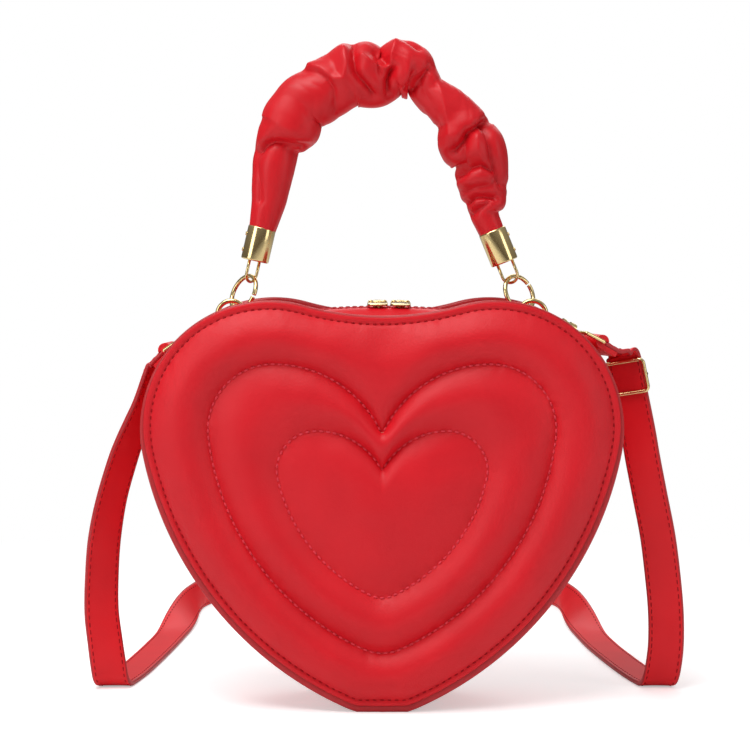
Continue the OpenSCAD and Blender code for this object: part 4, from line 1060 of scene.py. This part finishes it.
def relief(x, z):
    """Sum over all folds of -depth e^(-(d/reach)^1.3) + side step e^(-d/(3 reach)), in mm."""
    out = np.zeros_like(x)
    for pts, depth, reach, step in FOLDS:
        p = from_view(pts)
        best = np.full(x.shape, 1e9)
        side = np.zeros_like(x)
        for q, r in zip(p[:-1], p[1:]):
            e = r - q
            t = np.clip(((x - q[0]) * e[0] + (z - q[1]) * e[1]) / (e @ e), 0, 1)
            dx, dz = x - q[0] - t * e[0], z - q[1] - t * e[1]
            d = np.hypot(dx, dz)
            cross = (e[0] * dz - e[1] * dx) / np.linalg.norm(e)
            side = np.where(d < best, cross / np.hypot(d, 0.8), side)
            best = np.minimum(best, d)
        out += -depth * np.exp(-((best / reach) ** 1.3)) + step * side * np.exp(-best / (3 * reach))
    return out


front_w = smooth(-1.5 * np.sin(TH) + 0.5)
back_w = smooth(1.6 * np.sin(TH) - 0.1)
fx = mid[:, 0][:, None] + normal[:, 0][:, None] * np.cos(TH) * half_w[:, None]
fz = mid[:, 1][:, None] + normal[:, 1][:, None] * np.cos(TH) * half_w[:, None]
fold_a = ridge(L / 15.5 + 0.42 * np.sin(TH + 0.9 * n1 + L / 40) + 0.55 * n1, 0.8)
fold_b = ridge(L / 8.5 + 0.5 * np.sin(TH * 2 + 1.3 + n2) + 0.8 * n2, 0.9)
pleat = ridge(TH / (2 * math.pi) * 9 + 0.25 * n1, 0.8)
end = np.minimum(L, total - L)
body_w = smooth((end - 9) / 22)
# The left leg is smooth up to its lip; the right leg is gathered down to the cap
smooth_leg = 1 - smooth((L - 45) / 20)
amp_a = body_w * (0.25 + 4.0 * back_w) * (1 - 0.8 * smooth_leg)
amp_b = body_w * (0.15 + 1.2 * back_w) * (1 - 0.8 * smooth_leg)
disp = amp_a * (fold_a - 0.72) + amp_b * (fold_b - 0.6)
disp += (1 - body_w) * 0.6 * (pleat - 0.9) * (1 - 0.7 * front_w)
disp += body_w * n2 * (0.2 + 0.8 * back_w) + body_w * 0.4 * n1
disp += relief(fx, fz) * front_w * smooth((end - 4) / 8)
hw = half_w[:, None] * (1 - 0.02 * body_w)
flatness = 1 - 0.14 * body_w
rad_x = np.maximum(hw + disp, 4.4)
rad_y = np.maximum(hw * flatness + disp, 4.4)
cx, cy = np.cos(TH) * rad_x, np.sin(TH) * rad_y
P_X, P_Z = (mid[:, k][:, None] + normal[:, k][:, None] * cx for k in (0, 1))
P = np.stack([P_X, cy, P_Z], 2)
v, f = loft(P)
sleeve = new_object(
    "ruched_handle", v, [*f.tolist(), list(range(NT))[::-1], list(range((NS - 1) * NT, NS * NT))]
)
finish_piece(sleeve, M_HANDLE, "handle", "leather", "handle_sleeve")

rope = np.column_stack([mid[:, 0], 0 * seg, mid[:, 1]])[::8]
core = tube("rope_core", rope, 4.0, 20)
finish_piece(core, M_ROPE, "handle", "core", "handle_core")

# %% [markdown]
# ## Shoulder strap, adjuster slide and end folds
# The strap is swept along a smooth line. Each row holds a point of its middle line and
# the direction of its width. Both sides are written as on the left; the right side's is
# mirrored, and it faces the front where it goes through the adjuster slide.

# %%
STRAP_W, STRAP_T = 18.0, 2.5
NOSE = np.array([-TAB_X - LOOP_R + 3.4, 0, BAR_Z + 2.5])
FZ, EZ = STRAP_T / 2, STRAP_W / 2


def run_rows(turn, droop, lean, *ds):
    """Rows of the strap's end at a hook, at distances from the eye's bar."""
    eye = NOSE + 33.5 * (rot("z", -turn) @ rot("y", -droop) @ np.array([0, 0, 1.0]))
    down = -(rot("z", -turn) @ rot("y", lean) @ np.array([0, 0, 1.0]))
    wide = [math.sin(math.radians(turn)), math.cos(math.radians(turn)), 0]
    return [[*(eye + d * down), *wide] for d in ds]


SLIDE_MID = np.array([-123.2, 15, 158.3])
SLIDE_M = rot("z", -70) @ rot("y", 5.7) @ rot("x", -10.2)
rows_left = [
    *run_rows(6.1, 123, 45, 1.7, 10, 13), [-118, 6, 148, 0.45, 0.89, 0], [-121.6, 8.5, 138, 0.6, 0.8, 0],
    [-125.6, 11, 128, 0.7, 0.71, 0], [-129.7, 13, 117, 0.75, 0.66, 0],
    [-135.7, 15.8, 97, 0.78, 0.62, 0], [-139.5, 17.6, 77, 0.85, 0.53, 0],
    [-141, 18.8, 58, 0.87, 0.49, 0], [-141.2, 19.2, 40, 0.9, 0.43, 0],
    [-139.4, 19.5, 24, 0.94, 0.34, 0], [-138, 20.5, 13, 0.97, 0.24, 0], [-137, 23, 5.5, 0.99, 0.1, 0],
    [-135.5, 28, FZ + 0.7, 1, 0, 0], [-134, 36, FZ, 1, 0, 0], [-130, 60, FZ, 1, 0, 0],
    [-126, 95, FZ, 1, 0, 0],
]
rows_right = [
    *run_rows(18, 115.6, 62, 1.7, 10.3), [-118.9, 13.4, 170.2, 0.66, 0.74, -0.09],
    *[[*(SLIDE_MID + h * SLIDE_M[:, 2]), *SLIDE_M[:, 1]] for h in (9.6, -10, -27.5)],
    [-131.2, 16.4, 117, 0.94, 0.32, -0.16], [-135, 17.5, 98, 0.94, 0.32, -0.12],
    [-139, 18.7, 78, 0.96, 0.28, -0.08], [-141.6, 19.3, 58, 0.98, 0.2, -0.04],
    [-143.2, 19.5, 40, 0.98, 0.2, 0], [-143.3, 19.5, 24, 0.98, 0.18, 0],
    [-142.3, 20.5, 13, 0.98, 0.16, 0], [-141, 23, 5.5, 0.99, 0.1, 0],
    [-139.5, 28, FZ + 0.7, 1, 0, 0], [-137.5, 36, FZ, 1, 0, 0], [-132.5, 60, FZ, 1, 0, 0],
    [-127, 95, FZ, 1, 0, 0],
]
rows_back = [
    [-122.5, 130, FZ, 1, 0, 0], [-119.5, 165, FZ + 0.4, 0.995, 0, -0.04],
    [-117, 190, 5.4, 0.9, 0, -0.44], [-115, 212, 8.2, 0.64, 0, -0.77],
    [-113, 234, EZ, 0.3, 0, -0.95], [-109, 258, EZ + 0.1, 0, 0, -1], [-99, 284, EZ + 0.1, 0, 0, -1],
    [-82, 306, EZ + 0.1, 0, 0, -1], [-58, 322, EZ + 0.1, 0, 0, -1], [-30, 331, EZ + 0.1, 0, 0, -1],
]
half_right = np.array([*rows_right, *rows_back], float)[::-1] * [-1, 1, 1, -1, 1, 1]
strap_rows = np.concatenate([np.array([*rows_left, *rows_back, [0, 334, EZ + 0.1, 0, 0, -1]]), half_right])


def catmull(p, k):
    """Smooth curve through rows: k steps between each two."""
    q = np.concatenate([2 * p[:1] - p[1:2], p, 2 * p[-1:] - p[-2:-1]])
    t = (np.arange(k) / k)[:, None]
    out = []
    for i in range(len(p) - 1):
        a, b, c, d = q[i : i + 4]
        bend = (2 * a - 5 * b + 4 * c - d) * t**2 + (3 * b - a - 3 * c + d) * t**3
        out.append(0.5 * (2 * b + (c - a) * t + bend))
    return np.concatenate([*out, p[-1:]])


def sweep(fine, width, thick, corner=0.9):
    """A rounded flat section along rows of point and width direction. Also gives its frame."""
    c, w = fine[:, :3], fine[:, 3:]
    t = np.gradient(c, axis=0)
    t /= np.linalg.norm(t, axis=1)[:, None]
    w = w - np.sum(w * t, 1)[:, None] * t
    w /= np.linalg.norm(w, axis=1)[:, None]
    up = np.cross(t, w)
    hw, ht = width / 2, thick / 2
    a = np.radians(np.linspace(-90, 90, 7))
    edge_r = np.stack([hw - corner + corner * np.cos(a), ht * np.sin(a)], 1)
    flat_top = np.stack([np.linspace(hw - corner, -hw + corner, 9)[1:-1], np.full(7, ht)], 1)
    sec = np.concatenate([edge_r, flat_top, -edge_r, -flat_top])
    pts = c[:, None] + sec[None, :, :1] * w[:, None] + sec[None, :, 1:] * up[:, None]
    return pts, (c, t, w, up), len(sec)


def strap_piece(name, fine, width, thick, body, *nodes):
    """A length of strap with darker painted edges. Also gives the frame that the stitches follow."""
    pts, fr, ns = sweep(fine, width, thick)
    v, f = loft(pts)
    n = len(pts)
    faces = [*f.tolist(), list(range(ns))[::-1], list(range((n - 1) * ns, n * ns))]
    o = new_object(name, v, faces)
    finish_piece(o, M_STRAP, body, "leather", *nodes, extra=(M_EDGE,))
    around = np.tile(np.arange(ns), n - 1)
    is_edge = (around < 6) | ((around >= 14) & (around < 19))
    idx = np.zeros(len(o.data.polygons), np.int32)
    idx[: len(is_edge)] = is_edge
    o.data.polygons.foreach_set("material_index", idx)
    return o, fr


def strap_threads(name, fr, width, thick, body, pitch=3.6, inset=2.0):
    """Stitches in two rows on both faces of a strap."""
    c, t, w, up = fr
    run_at = np.concatenate([[0], np.cumsum(np.linalg.norm(np.diff(c, axis=0), axis=1))])
    stitch_at = np.arange(2, run_at[-1] - 2, pitch)
    at = lambda a: np.stack([np.interp(stitch_at, run_at, a[:, k]) for k in range(3)], 1)
    C, T, W, UP = at(c), at(t), at(w), at(up)
    cs, ds, us = [], [], []
    for e in (-1, 1):
        for g in (-1, 1):
            cs.append(C + e * (width / 2 - inset) * W + g * (thick / 2 - 0.05) * UP)
            ds.append(T)
            us.append(g * UP)
    o = capsules(name, np.concatenate(cs), np.concatenate(ds), np.concatenate(us), pitch * 0.66, 0.3)
    finish_piece(o, M_THREAD, body, "leather")
    return o


fine = catmull(strap_rows, 12)
_, strap_frame = strap_piece("shoulder_strap", fine, STRAP_W, STRAP_T, "strap", "strap")
strap_threads("strap_thread", strap_frame, STRAP_W, STRAP_T, "strap")
strap_mm = np.linalg.norm(np.diff(strap_frame[0], axis=0), axis=1).sum()
print("strap middle line, mm:", round(float(strap_mm), 1))

# Adjuster slide: a wire frame before the strap and its middle bar behind it
off, wire_hw, hh = (2.4 + 2) / 2 + 0.1, 18 / 2 + 0.1 + 1.0, 8.0


def slide_at(a, b, c):
    """Local place on the slide: across, down the strap, to the front."""
    return (SLIDE_MID + SLIDE_M @ np.array([c, a, -b])) * [-1, 1, 1]


corner_r = 2.2
loop = []
for qx, qy, a0 in ((1, 1, 0), (-1, 1, 90), (-1, -1, 180), (1, -1, 270)):
    for a in np.radians(np.linspace(a0, a0 + 90, 7)):
        x_at = qx * (wire_hw - corner_r) + corner_r * math.cos(a)
        y_at = qy * (hh - corner_r) + corner_r * math.sin(a)
        loop.append(slide_at(x_at, y_at, off))
bar_half = [(wire_hw - 0.7, -off), (wire_hw, 0), (wire_hw, off)]
bar_pts = [slide_at(x, 0, z) for x, z in [(-x, z) for x, z in bar_half[::-1]] + bar_half]
slide = join(
    "adjuster_slide",
    [tube("f", loop, 1.0, 16, closed=True), tube("m", along(np.array(bar_pts), 40, 6), 1.0, 16)],
)
finish_piece(slide, M_GOLD, "adjuster", "gold", "slide_frame")

for s, tag in ((-1, "left"), (1, "right")):
    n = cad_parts[f"strap_fold_{tag}"]
    n.data.materials.clear()
    n.data.materials.append(M_STRAP)
